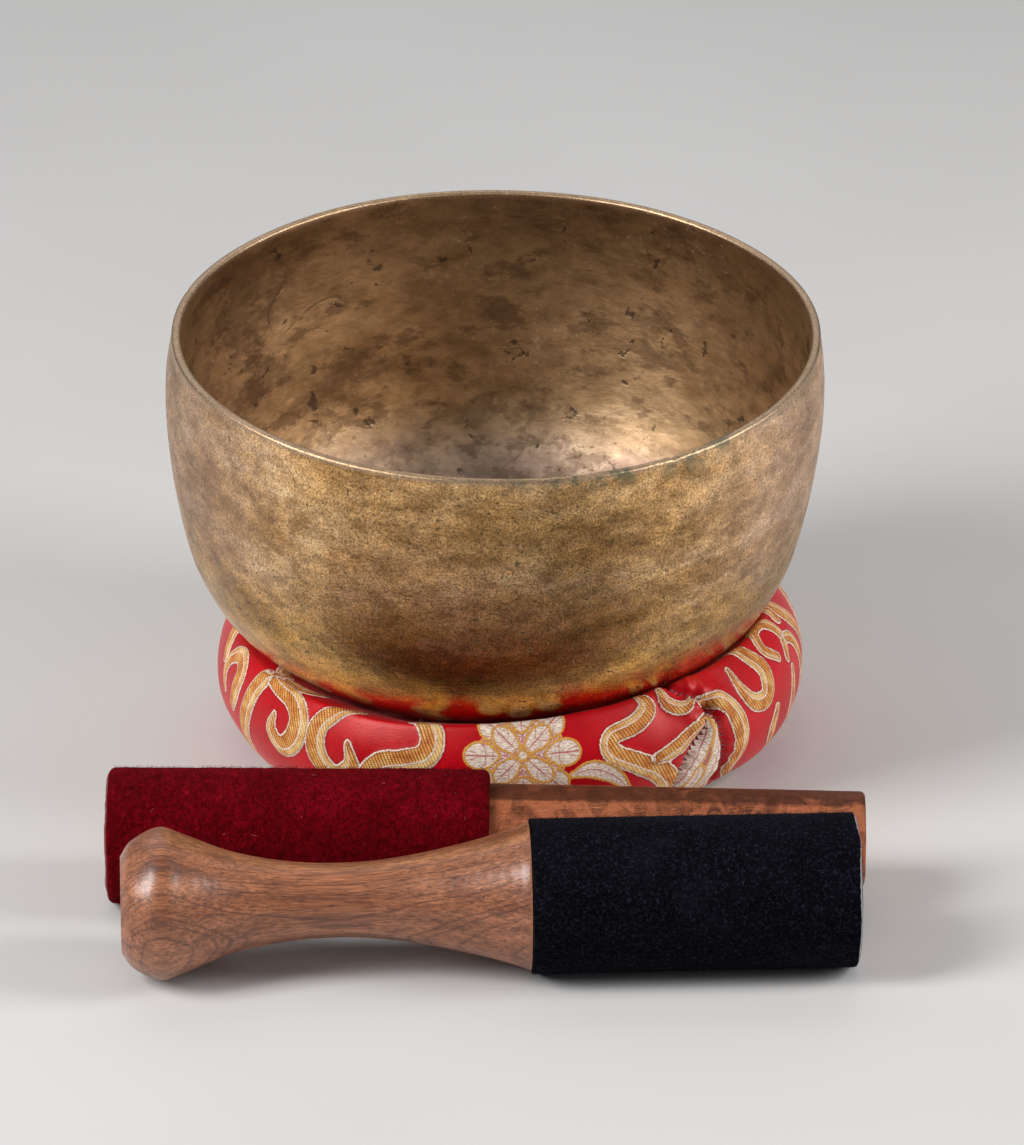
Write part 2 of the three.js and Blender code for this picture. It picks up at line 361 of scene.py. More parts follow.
def bronze_look():
    """Old hammered bronze. Outside it is golden brown, grainy and pitted, with painted highlights down its
    left and right sides and a painted orange-brown reflection of the cushion low down; inside it is
    smoother, with purple-brown blotches, specks and scratches, and a painted pinkish highlight on its
    bottom. The rim is polished."""
    look = Look("bronze", Coat_Weight=0.12, Coat_Roughness=0.42)
    point = look.field("in_bowl", "Vector")
    inside, rim, height = map(look.field, ("inside", "rim", "height"))
    banded = point.stretched(1, 1, 2.1)

    # Outside
    cloud = banded.noise(30, 9, 0.74, 0.15)
    color = cloud.ramp((0.38, 0.37, 0.212, 0.082), (0.47, 0.53, 0.325, 0.145), (0.54, 0.64, 0.412, 0.205),
                       (0.66, 0.77, 0.53, 0.305))
    # Lighter horizontal streaks: partly polish lines from the hammer, partly painted highlight along the
    # hammered ridges.
    streak = point.stretched(1, 1, 3.6).noise(27, 9, 0.76, 0.2).step(0.545, 0.62)
    color = color.under(streak * 0.36, (0.9, 0.67, 0.44))
    olive = point.noise(20, 9, 0.74, 0.2).step(0.505, 0.59)
    color = color.under(olive * 0.3, (0.25, 0.15, 0.045))
    dusky = banded.noise(52, 8, 0.74).step(0.555, 0.64)
    color = color.under(dusky * 0.42, (0.16, 0.098, 0.048))
    # Painted reflection of the red cushion: blotchy, darker orange brown low on the outside.
    low_reflection = banded.noise(40, 6, 0.66).step(0.38, 0.62).choose((0.7, 0.375, 0.034), (0.35, 0.205, 0.024))
    color = color.under(height.step(0.06, 0.016) * 0.8, low_reflection)
    # Painted reflection: a brighter orange band at the very bottom, where the cushion shows in the metal.
    color = color.under(height.step(0.027, 0.015, 0.0, 0.45), (0.96, 0.56, 0.16))
    grain = point.noise(1750, 3, 0.66)
    color = color.tinted(grain.ramp((0.37, 0.58, 0.54, 0.47), (0.5, 1.03, 1.02, 1), (0.63, 1.46, 1.44, 1.38)))
    leathery = point.stretched(1, 1, 1.6).noise(120, 5, 0.66)
    color = color.tinted(leathery.ramp((0.38, 0.72, 0.68, 0.62), (0.5, 1, 1, 1), (0.62, 1.26, 1.25, 1.2)))
    # Painted highlight: paler, pinker colour down the left and right sides of the outside, where the side lamps
    # show.
    side_highlight = abs(point.axes()[0]).step(0.046, 0.084) * height.step(0.026, 0.06, 0.0, 0.62)
    color = color.under(side_highlight, color.under(0.5, (0.56, 0.36, 0.19)).tinted((0.96, 1.05, 1.62)))
    crowded = point.noise(19, 3, 0.6).step(0.4, 0.62, 0.0, 0.085)
    pits = (point.noise(760, 2) + crowded).step(0.705, 0.765)
    scab = point.noise(74, 5, 0.72, 0.9).step(0.69, 0.712)

    # Inside
    soft = point.stretched(1, 1, 2.4).noise(30, 9, 0.7, 0.15)
    inner = soft.ramp((0.38, 0.37, 0.228, 0.112), (0.47, 0.48, 0.318, 0.17), (0.56, 0.56, 0.388, 0.222),
                      (0.68, 0.66, 0.48, 0.3))
    inner = inner.under(height.step(0.052, 0.094, 0.0, 0.45), (0.15, 0.086, 0.036))
    bottom = height.step(0.036, 0.008)
    # Painted highlight: pinkish light on the inside bottom, where the lamps show in the metal.
    inner = inner.under(bottom * 0.6, (0.6, 0.47, 0.43))
    blotch = point.stretched(1, 1, 1.7).noise(31, 8, 0.72, 0.15).step(0.525, 0.6)
    inner = inner.under(blotch * (bottom * -0.2 + 0.5), (0.15, 0.09, 0.05))
    stain = point.stretched(1, 1.6, 1).noise(44, 6, 0.6, 0.4).step(0.505, 0.53)
    inner = inner.under(stain * bottom * 0.62, (0.27, 0.18, 0.15))
    inner = inner.tinted(leathery.ramp((0.38, 0.8, 0.78, 0.74), (0.5, 1, 1, 1), (0.62, 1.18, 1.18, 1.16)))
    dapple = banded.noise(68, 6, 0.66).step(0.545, 0.615)
    inner = inner.under(dapple * 0.55, (0.15, 0.088, 0.05))
    speck = point.noise(125, 4, 0.62, 0.3).step(0.635, 0.68)
    curve = abs(point.noise(15, 1, 0.3, 0.8) - 0.5)
    scratch = curve.step(0.003, 0.001) * point.noise(34, 2).step(0.52, 0.6)
    mark = speck.larger(scratch * 0.6)
    inner = inner.under(mark * 0.75, (0.075, 0.05, 0.038))

    dark = (pits * 0.8).larger(scab * 0.72)
    color = inside.choose(color.under(dark, (0.062, 0.048, 0.02)), inner)
    worn = look.field("worn") * point.noise(150, 4, 0.6).step(0.42, 0.56)
    color = color.under(worn * 0.75, (0.18, 0.17, 0.11))
    grainy = grain.ramp((0.36, 0.62, 0.6, 0.56), (0.6, 1, 1, 1))
    edge = worn.choose((0.54, 0.385, 0.255), (0.22, 0.205, 0.135))
    color = color.under(rim * 0.75, grainy.tinted(edge))

    outside = 1 - inside
    rough = inside.choose(cloud.step(0.3, 0.7, 0.56, 0.44), soft.step(0.3, 0.7, 0.54, 0.42))
    rough = rough + outside * height.step(0.056, 0.022) * -0.35 + dark * 0.25 + rim * -0.06
    rough = rough + bottom * inside * 0.12
    relief = (grain * 1.1 + pits * -1.2 + scab * -0.8) * outside
    relief = relief + banded.noise(200, 4, 0.6) * 1.6 + mark * -0.6
    return look.finish(Base_Color=color, Metallic=dark * outside * -0.45 + 1, Roughness=rough,
                       Normal=relief.bump(0.00014, 0.6))


def walnut_look(name, lacquer, gloss):
    """Red-brown turned wood: growth rings round a far-off middle, fibres and pores. Figured wood
    is darker and curly, with painted shade along its top, streaked by the wood's tone."""
    look = Look(name, Coat_Weight=lacquer, Coat_Roughness=0.23, Specular_IOR_Level=gloss)
    point = look.field("grain", "Vector")
    figure = look.field("figure")
    x, y, z = point.axes()

    def streaks(along, across, *noise):
        return point.stretched(along, across, across).noise(1, *noise)

    drift = streaks(16, 45, 3, 0.5, 0.4) - 0.5
    facing = z * 0.57 + y * -0.82 + x * 0.035 + 0.055
    sideways = z * 0.82 + y * 0.57
    ring = (facing * facing + sideways * sideways).root() + drift * (figure * 0.01 + 0.0065)
    phase = (ring * 900).fraction()
    year = look.add("TexNoise", {"W": ring, "Scale": 420.0, "Detail": 2.0}, "Fac", noise_dimensions="1D")
    late = phase.step(0.45, 0.92) * phase.step(1.0, 0.94) * year.step(0.44, 0.6)
    tone = streaks(20, 150, 5, 0.62, 0.3)
    color = tone.ramp((0.3, 0.19, 0.064, 0.027), (0.48, 0.3, 0.11, 0.051), (0.6, 0.375, 0.146, 0.071),
                      (0.74, 0.465, 0.192, 0.098))
    fibre = streaks(95, 2000, 3, 0.72)
    color = color.tinted(fibre.ramp((0.34, 0.56, 0.52, 0.48), (0.5, 1, 1, 1), (0.66, 1.5, 1.48, 1.44)))
    color = color.under(late * 0.6, (0.07, 0.024, 0.018))
    smoke = streaks(22, 210, 7, 0.72, 0.8).step(0.515, 0.62)
    color = color.under(smoke * (figure * 0.36 + 0.4), (0.078, 0.028, 0.022))
    line = streaks(8, 400, 4, 0.62, 0.3).step(0.525, 0.615)
    color = color.under(line * 0.42, (0.095, 0.032, 0.022))
    ripple = look.field("curl") * 0.055 + streaks(130, 78, 4, 0.6, 1.7)
    color = color.under(figure * ripple.step(0.41, 0.63, 0.0, 0.55), (0.64, 0.215, 0.105))
    color = color.under(figure * 0.4, color.tinted((0.44, 0.29, 0.23)))
    # Painted shade: the top of the figured stick darkened, streaked by the wood's tone.
    top_shade = look.field("top_shade") + (tone - 0.5) * 2.4
    color = color.under(top_shade.step(0.34, 0.86, 0.0, 0.84), (0.06, 0.018, 0.011))
    pores = streaks(250, 2500, 1).step(0.64, 0.7)
    color = color.under(pores * 0.5, (0.04, 0.013, 0.009))
    color = color.under(look.field("raw") * 0.7, (0.56, 0.22, 0.11))
    relief = fibre * 0.7 + pores * -1.1
    return look.finish(Base_Color=color, Roughness=tone.step(0.3, 0.7, 0.5, 0.4) + pores * 0.25,
                       Normal=relief.bump(0.00012, 0.6))


def felt_look():
    """Deep crimson pressed wool, mottled and fibrous."""
    look = Look("red_felt", Sheen_Weight=0.06, Sheen_Roughness=0.5, Specular_IOR_Level=0.03,
                Sheen_Tint=(0.9, 0.1, 0.14), Roughness=1.0)
    point = look.field("place", "Vector")
    fibre = point.stretched(1, 0.6, 0.6).noise(1500, 4, 0.75, 1.2)
    clump = point.stretched(1, 0.7, 0.7).noise(760, 5, 0.72, 1.0)
    color = point.noise(75, 4, 0.6, 0.4).ramp(
        (0.3, 0.105, 0.0006, 0.003), (0.52, 0.15, 0.001, 0.0045), (0.75, 0.2, 0.0018, 0.0075))
    color = color.tinted(clump.ramp((0.35, 0.48, 0.42, 0.42), (0.5, 1, 1, 1), (0.66, 1.7, 2.1, 2)))
    color = color.under(fibre.step(0.32, 0.6, 0.8, 0.0), (0.04, 0.0003, 0.0012))
    color = color.under(look.field("backing") * 0.8, (0.36, 0.2, 0.18))
    return look.finish(Base_Color=color, Normal=(clump * 1.8 + fibre).bump(0.00045, 0.9))


def suede_look():
    """Blue-black suede with a short nap and a pale cut edge."""
    look = Look("black_suede", Sheen_Weight=0.012, Sheen_Roughness=0.5, Specular_IOR_Level=0.03,
                Sheen_Tint=(0.55, 0.6, 0.9), Roughness=1.0)
    point = look.field("place", "Vector")
    nap = point.noise(1250, 4, 0.72, 0.9)
    color = point.stretched(1, 1.3, 1.3).noise(60, 5, 0.62, 0.5).ramp(
        (0.32, 0.0014, 0.0013, 0.0023), (0.55, 0.0026, 0.0025, 0.0042), (0.78, 0.0066, 0.0065, 0.0105))
    color = color.under(nap.step(0.5, 0.68, 0.0, 0.8), (0.021, 0.021, 0.034))
    fluff = point.noise(640, 1, 0.5).step(0.755, 0.79)
    color = color.under(fluff * 0.25, (0.11, 0.11, 0.13))
    color = color.under(look.field("backing"), (0.3, 0.285, 0.3))
    return look.finish(Base_Color=color, Normal=nap.bump(0.00026, 0.9))


def gold_threads(cloth, light_side):
    """Twisted gold weft in slanting ribs, paler and smoother on the narrow side of each scroll."""
    x, y, _ = cloth.axes()
    rib = ((y * 0.5 + x) * 0.98).fraction()
    pick = ((x * -0.22 + y) * 1.55).fraction()
    gap = rib.step(0.6, 0.82).larger(pick.step(0.58, 0.84) * 0.6)
    shade = cloth.noise(0.22, 4, 0.65)
    dark_gold = shade.ramp((0.34, 0.56, 0.165, 0.026), (0.5, 0.88, 0.385, 0.08), (0.64, 1, 0.66, 0.23))
    pale_gold = shade.ramp((0.34, 0.72, 0.3, 0.066), (0.6, 1, 0.71, 0.29))
    color = light_side.choose(dark_gold, pale_gold)
    return color.under(gap * (light_side * -0.42 + 0.88), (0.13, 0.024, 0.008)), gap


def woven_line(distance, width, cloth):
    """1 on a stitched line where `distance` is near 0, with the small steps of its stitches."""
    jag = (cloth.cells(1.8) - 0.45) * 0.35
    return abs(distance + jag).step(width, width * 0.7)


def satin_ground(cloth):
    """Crimson satin with its fine warp."""
    color = cloth.noise(0.05, 3).ramp((0.35, 0.48, 0.0011, 0.0065), (0.65, 0.65, 0.0022, 0.0115))
    warp = cloth.stretched(0.6, 4.4, 1).noise(1, 2, 0.6)
    return color.under(warp.step(0.36, 0.66, 0.0, 0.48), (0.25, 0.001, 0.005)), warp


def leaf_threads(look, cloth):
    """Silver floats with red veins that slant off a midrib, the floats' relief, how much each
    place is a leaf, and its distance outside the leaf's edge."""
    edge, across, along = map(look.field, ("petal", "petal_across", "petal_along"))
    floats = cloth.stretched(0.7, 3.2, 1).noise(1, 3)
    silver = floats.ramp((0.36, 0.5, 0.38, 0.29), (0.58, 0.96, 0.84, 0.71))
    aside = abs(across)
    vein = abs(((aside * -1.7 + along) * 0.55).fraction() - 0.5)
    lines = (vein.step(0.1, 0.03) * 0.6).larger(aside.step(0.1, 0.03) * 0.8) * edge.step(-0.3, -0.7)
    return silver.under(lines, (0.42, 0.035, 0.035)), floats, edge.step(0.05, -0.12), edge


def brocade_look():
    """Crimson satin with gold scrolls, cream outlines and a silver flower on white lattice."""
    look = Look("brocade", Specular_IOR_Level=0.62, Specular_Tint=(1.0, 0.42, 0.38), Sheen_Weight=0.22,
                Sheen_Roughness=0.35, Sheen_Tint=(1.0, 0.22, 0.2))
    cloth = look.field("cloth", "Vector")
    scroll, patch = look.field("scroll"), look.field("patch")
    ground, warp = satin_ground(cloth)
    fill = scroll.step(0.05, -0.15)
    split = look.field("across") - 0.3
    gold, gap = gold_threads(cloth, split.step(0.0, 0.05))
    color = fill.choose(ground, gold)
    # Darker band along both sides of each cream outline: inside the scroll it is the dark contour thread;
    # outside, on the satin, it is painted shadow beside the raised outline.
    beside = abs(scroll).step(0.8, 0.4, 0.0, 0.5)
    color = color.under(beside, color.tinted((0.36, 0.24, 0.22)))
    inner_line = woven_line(split * 3, 0.29, cloth) * fill
    cream_line = woven_line(scroll, 0.29, cloth).larger(inner_line)
    cream = cloth.stretched(1, 1.6, 1).noise(2.4, 2).ramp((0.36, 0.48, 0.25, 0.17), (0.52, 1, 0.85, 0.72))
    color = color.under(cream_line, cream)

    net = cloth.stretched(1, 1.3, 1).cells(1.9)
    on_patch = patch.step(0.1, -0.1)
    color = color.under(on_patch, net.step(0.36, 0.54).choose((0.82, 0.72, 0.65), (0.52, 0.21, 0.19)))
    silver, _, on_petal, petal = leaf_threads(look, cloth)
    color = color.under(on_petal, silver)
    patch_edge = woven_line(patch, 0.36, cloth) * petal.step(-0.2, 0.2)
    gold_edge = woven_line(petal + 0.15, 0.42, cloth).larger(patch_edge)
    color = color.under(gold_edge, cloth.noise(2.6, 2).ramp((0.4, 0.56, 0.225, 0.03), (0.6, 0.8, 0.46, 0.11)))

    rough = fill.larger(on_patch).step(0.0, 1.0, 0.31, 0.46) + warp * 0.1
    relief = (1 - gap) * fill + cream_line.larger(gold_edge) * 1.1
    relief = relief + on_patch * net.step(0.5, 0.34) * 0.7 + warp * 0.24
    return look.finish(Base_Color=color, Roughness=rough, Normal=relief.bump(0.0003, 0.75))


def silver_brocade_look():
    """Silver-thread brocade with overlapping leaves, red veins and gold edges."""
    look = Look("silver_brocade", Specular_IOR_Level=0.5)
    cloth = look.field("cloth", "Vector")
    silver, floats, on_leaf, leaf = leaf_threads(look, cloth)
    net = cloth.stretched(1, 1.3, 1).cells(1.9)
    edge = woven_line(leaf + 0.15, 0.42, cloth)
    color = net.step(0.3, 0.5).choose((0.62, 0.5, 0.43), (0.4, 0.06, 0.06))
    color = color.under(on_leaf, silver).under(edge, (0.68, 0.34, 0.07))
    return look.finish(Base_Color=color, Roughness=floats.step(0.3, 0.7, 0.5, 0.38),
                       Normal=(edge + floats * 0.5).bump(0.0003, 0.7))


def thread_look():
    """Dark red twisted sewing thread."""
    look = Look("seam_thread", Sheen_Weight=0.2, Roughness=0.7)
    twist = look.place().stretched(1, 1, 1.7).noise(1900, 2, 0.6, 1.0)
    return look.finish(Base_Color=twist.ramp((0.35, 0.06, 0.003, 0.008), (0.65, 0.19, 0.01, 0.022)),
                       Normal=twist.bump(0.00012, 0.7))


def wadding_look():
    """Off-white cotton wadding."""
    look = Look("stuffing", Sheen_Weight=0.3, Roughness=1.0)
    tufts = look.place().noise(260, 5, 0.7, 1.0)
    return look.finish(Base_Color=tufts.ramp((0.3, 0.52, 0.47, 0.39), (0.7, 0.78, 0.74, 0.66)),
                       Normal=tufts.bump(0.0012, 0.9))


def lint_look():
    """Pale wool lint."""
    look = Look("lint", Sheen_Weight=0.4, Roughness=1.0)
    color = look.place().noise(300, 2).ramp((0.4, 0.3, 0.04, 0.05), (0.6, 0.52, 0.3, 0.29))
    return look.finish(Base_Color=color)


# ---- Bowl ----
OUT_OF_ROUND = 0.0138
LONG_DIAMETER_AT = math.radians(31)
BOTTOM_WALL, SIDE_WALL, RIM_WIDTH = 3.4, 2.8, 2.4
BOWL_SEGMENTS = 400
# The front right of the rim is worn, and it has two nicks, in degrees round from the right
WORN_RIM_AT = 297
NICKS = ((303.5, 0.55, 1), (165, 0.6, 0.8))  # place, width, depth as a share of NICK_DEPTH
NICK_DEPTH = 0.55
RIM_WAVES = ((2, 0.25, 0.8), (3, 0.18, 2.1), (7, 0.1, 0))  # waves in the rim: how many, depth, start
BOWL_OUTLINE = [(26, 0), (44, 1.9), (60, 8), (73.2, 18), (81.1, 31), (85.3, 46), (88.2, 66), (88.8, 83),
                (87.3, 96)]
bowl_outside = spline(BOWL_OUTLINE, 150)


def bowl_inside():
    """The inside of the wall, which thins toward the rim, from the rim down to the bottom."""
    along = unit(np.gradient(bowl_outside, axis=0))
    share = np.linspace(0, 1, len(bowl_outside))
    side = SIDE_WALL + (RIM_WIDTH - SIDE_WALL) * smoothstep(share, 0.6, 1)
    wall = BOTTOM_WALL + (side - BOTTOM_WALL) * np.clip(share * 2, 0, 1)
    inward = np.stack([-along[:, 1], along[:, 0]], -1)
    return (bowl_outside + inward * wall[:, None])[::-1]


def rim_arc():
    """The rounded top of the wall, from its outside corner to its inside corner."""
    (outer, top), (inner, _) = bowl_outside[-1], bowl_inside()[0]
    turn = np.linspace(0, math.pi, 11)
    middle, half = (outer + inner) / 2, (outer - inner) / 2
    across = np.sign(np.cos(turn)) * np.abs(np.cos(turn)) ** 0.8
    return np.stack([middle + half * across, top + 0.95 * np.sin(turn) ** 0.9], -1)[1:-1]


def out_of_round(points):
    """Stretches the round bowl along one diameter and narrows it across."""
    long_way, cross_way = turned_by(points[:, 0], points[:, 1], -LONG_DIAMETER_AT)
    x, y = turned_by(long_way * (1 + OUT_OF_ROUND), cross_way * (1 - OUT_OF_ROUND), LONG_DIAMETER_AT)
    return np.stack([x, y, points[:, 2]], -1)


def from_bowl(points):
    """Places points in the bowl's own millimetres into the row frame."""
    return points * MM @ np.array(BOWL_LEAN).T + BOWL_BASE


def build_bowl(material):
    inside, rim = bowl_inside(), rim_arc()
    flat = np.linspace((0, 0), BOWL_OUTLINE[0], 12)[:-1]
    floor = np.linspace((inside[-1, 0], BOTTOM_WALL), (0, BOTTOM_WALL), 12)[1:]
    rim_start = len(flat) + len(bowl_outside)
    rim_end = rim_start + len(rim)
    vertices, faces, turn, place = turned(np.vstack([flat, bowl_outside, rim, inside, floor]), BOWL_SEGMENTS)
    vertices = out_of_round(vertices)
    normals = normals_of(vertices, faces)
    is_inside = (place >= rim_end).astype(float)
    to_rim = np.minimum(np.abs(place - rim_start + 0.5), np.abs(place - rim_end + 0.5))
    on_rim = ((place >= rim_start - 1) & (place <= rim_end)).astype(float)
    calm = smoothstep(to_rim, 0, 12) * (1 - on_rim)
    dents = hammer_marks(vertices + is_inside[:, None] * 300, 11.0, 3)
    swell = soft_noise(vertices * [1, 1, 1.8], 17.0, 5) * 0.1 + soft_noise(vertices, 42.0, 7) * 0.22
    push = swell * (0.25 + 0.75 * calm) - dents * 0.085 * calm
    lip = smoothstep(vertices[:, 2], 91.5, 94.5) * (1 - is_inside) * (1 - on_rim)
    push -= lip * (0.1 + 0.1 * soft_noise(vertices, 2.2, 9))
    vertices = vertices + normals * push[:, None]
    height = vertices[:, 2]
    near_top = smoothstep(height, 88, 96)
    degrees = np.degrees(turn)
    height += near_top * sum(depth * np.sin(count * turn + start) for count, depth, start in RIM_WAVES)
    nicks = sum(depth * np.exp(-((degrees - at) / width) ** 2) for at, width, depth in NICKS)
    height -= near_top * nicks * NICK_DEPTH
    worn = smoothstep(np.abs(degrees - WORN_RIM_AT), 32, 12) * smoothstep(height, 90.5, 95.5)
    fields = {"in_bowl": vertices * MM, "inside": is_inside, "height": height * MM, "rim": on_rim,
              "worn": worn * (1 - is_inside)}
    keep(make_mesh("bowl_hammered", from_bowl(vertices), faces, fields), "bowl", "bronze", material, "bowl")


def underside_at(points):
    """Height of the leaning bowl's outside above each point of the table, in millimetres."""
    lean = np.array(BOWL_LEAN)
    base = (BOWL_BASE - RING) / MM
    lower = bowl_outside[bowl_outside[:, 1] < 80]
    radii, heights = np.append(0, lower[:, 0]), np.append(0, lower[:, 1])
    spot = np.column_stack([points[:, :2], np.zeros(len(points))])
    for _ in range(8):
        local = (spot - base) @ lean
        long_way, cross_way = turned_by(local[:, 0], local[:, 1], -LONG_DIAMETER_AT)
        radius = np.hypot(long_way / (1 + OUT_OF_ROUND), cross_way / (1 - OUT_OF_ROUND))
        height = np.interp(radius, radii, heights) + np.maximum(radius - radii[-1], 0) * 8
        spot[:, 2] += height - local[:, 2]
    return spot[:, 2]


# ---- Cushion ----
RING_RADIUS = 59.4
OUTER_HALF_WIDTH, INNER_HALF_WIDTH = 22, 31.4
SECTION_MIDDLE, INNER_DROP, UNDERSIDE_PRESS = 22, 8, 1.2
EQUATOR = RING_RADIUS + OUTER_HALF_WIDTH
GIRTH = 2 * math.pi * EQUATOR
AROUND, SECTION = 960, 200
WADDING_GRID = 180, 60
INNER_SEAM_AT = -72  # millimetres of cloth up from the widest line

# The joint of the cover, in millimetres of cloth: along the ring's outside, and up from its widest
# line. Two seams part at a point and meet again underneath, with the gusset between them.
GUSSET_LEFT = [(-67, 10.5), (-70.4, 4.6), (-75, -0.5), (-78.3, -8.6), (-79, -20), (-74, -34), (-68, -44)]
GUSSET_RIGHT = [(-67, 10.5), (-64.7, 5.5), (-62.4, -1.5), (-60.9, -10), (-60.5, -20), (-63, -34), (-68, -44)]
GATHER = [(-80, 27), (-75, 18.3), (-69.6, 14.4), (-67, 10.5)]
CLOSING = [(-68, -44), (-68.5, -60), (-68, -76)]
SEAMS = ((GUSSET_LEFT, 1.5), (GUSSET_RIGHT, 1.5), (GATHER, 1.7), (CLOSING, 1.5))  # each with its depth


def section(angle, inset=0.0):
    """(radius, height) of the stuffed ring's section, in millimetres."""
    across = np.cos(angle)
    middle = SECTION_MIDDLE - INNER_DROP * np.maximum(0, -across) ** 2
    half = np.where(across > 0, OUTER_HALF_WIDTH, INNER_HALF_WIDTH)
    height = middle + (middle + UNDERSIDE_PRESS - inset) * np.sin(angle)
    return RING_RADIUS + (half - inset) * across, np.maximum(inset, height)


def ring_turns(count):
    """Evenly spaced angles round the ring, from its left."""
    return (np.arange(count) / count * 2 - 1) * math.pi


def section_lengths(count):
    """Angles evenly spaced by cloth length round the section, and that length up from the widest line."""
    angle = np.linspace(-math.pi, math.pi, 2001)
    radius, height = section(angle)
    length = np.concatenate([[0], np.cumsum(np.hypot(np.diff(radius), np.diff(height)))])
    length -= np.interp(0, angle, length)
    spaced = np.linspace(length[0], length[-1], count, endpoint=False)
    return np.interp(spaced, length, angle), spaced


def soft_least(a, b, blend):
    """The lesser of a and b, rounded over where they cross."""
    share = np.clip(0.5 + (b - a) / (2 * blend), 0, 1)
    return b + (a - b) * share - blend * share * (1 - share)


def pressed_ring(turns, angles, inset=0.0):
    """Points of the ring, pressed down by the bowl, for each turn and each angle in it."""
    turn, angle = crossed(turns, angles)
    radius, height = section(angle, inset)
    points = polar(radius, turn, height)
    limit = underside_at(points) - 0.25 - inset
    points[:, 2] = soft_least(points[:, 2], limit, 2.2)
    return points


def wrapped(ds):
    """The short way round the ring, in millimetres of cloth."""
    return (ds + GIRTH / 2) % GIRTH - GIRTH / 2


def along_line(s, t, line):
    """Distance from each place on the cloth to a line, and how far along it the nearest point is."""
    best, travel, start = np.full(s.shape, 1e6), np.zeros(s.shape), 0.0
    line = spline(line, 40)
    for (x0, y0), (x1, y1) in zip(line, line[1:]):
        step = np.array([x1 - x0, y1 - y0])
        length = np.hypot(*step)
        ds = wrapped(s - x0)
        share = np.clip((ds * step[0] + (t - y0) * step[1]) / length**2, 0, 1)
        away = np.hypot(ds - share * step[0], t - y0 - share * step[1])
        nearer = away < best
        best = np.where(nearer, away, best)
        travel = np.where(nearer, start + share * length, travel)
        start += length
    return best, travel


def stroke_fields(s, t, strokes, margin=6.0):
    """For strokes of varying width, each a list of (s, t, half width): the distance outside the
    nearest edge, the place across the stroke from -1 to 1, and the distance along it. Strokes
    that overlap meet at a shared edge."""
    nearest, second = np.full(s.shape, margin), np.full(s.shape, margin)
    across, along = np.zeros(s.shape), np.zeros(s.shape)
    for stroke in strokes:
        spine = spline(stroke, 8 * len(stroke))
        middle = (spine.min(0) + spine.max(0)) / 2
        reach = np.ptp(spine, axis=0) / 2 + spine[:, 2].max() + margin
        ds = wrapped(s - middle[0])
        near = np.nonzero((np.abs(ds) < reach[0]) & (np.abs(t - middle[1]) < reach[1]))[0]
        if not len(near):
            continue
        step = np.diff(spine, axis=0)
        length = np.hypot(step[:, 0], step[:, 1])
        travel = np.cumsum(length) - length
        px = (ds[near] + middle[0])[:, None] - spine[:-1, 0]
        py = t[near][:, None] - spine[:-1, 1]
        share = np.clip((px * step[:, 0] + py * step[:, 1]) / length**2, 0, 1)
        radius = spine[:-1, 2] + step[:, 2] * share
        outside = np.hypot(px - share * step[:, 0], py - share * step[:, 1]) - radius
        best = (np.arange(len(near)), outside.argmin(axis=1))
        edge = outside[best]
        nearer = edge < nearest[near]
        second[near] = np.where(nearer, nearest[near], np.minimum(second[near], edge))
        chosen = near[nearer]
        nearest[chosen] = edge[nearer]
        across[chosen] = ((step[:, 0] * py - step[:, 1] * px) / length / radius)[best][nearer]
        along[chosen] = (travel + share * length)[best][nearer]
    return np.maximum(nearest, (nearest - second) / 2), across, along


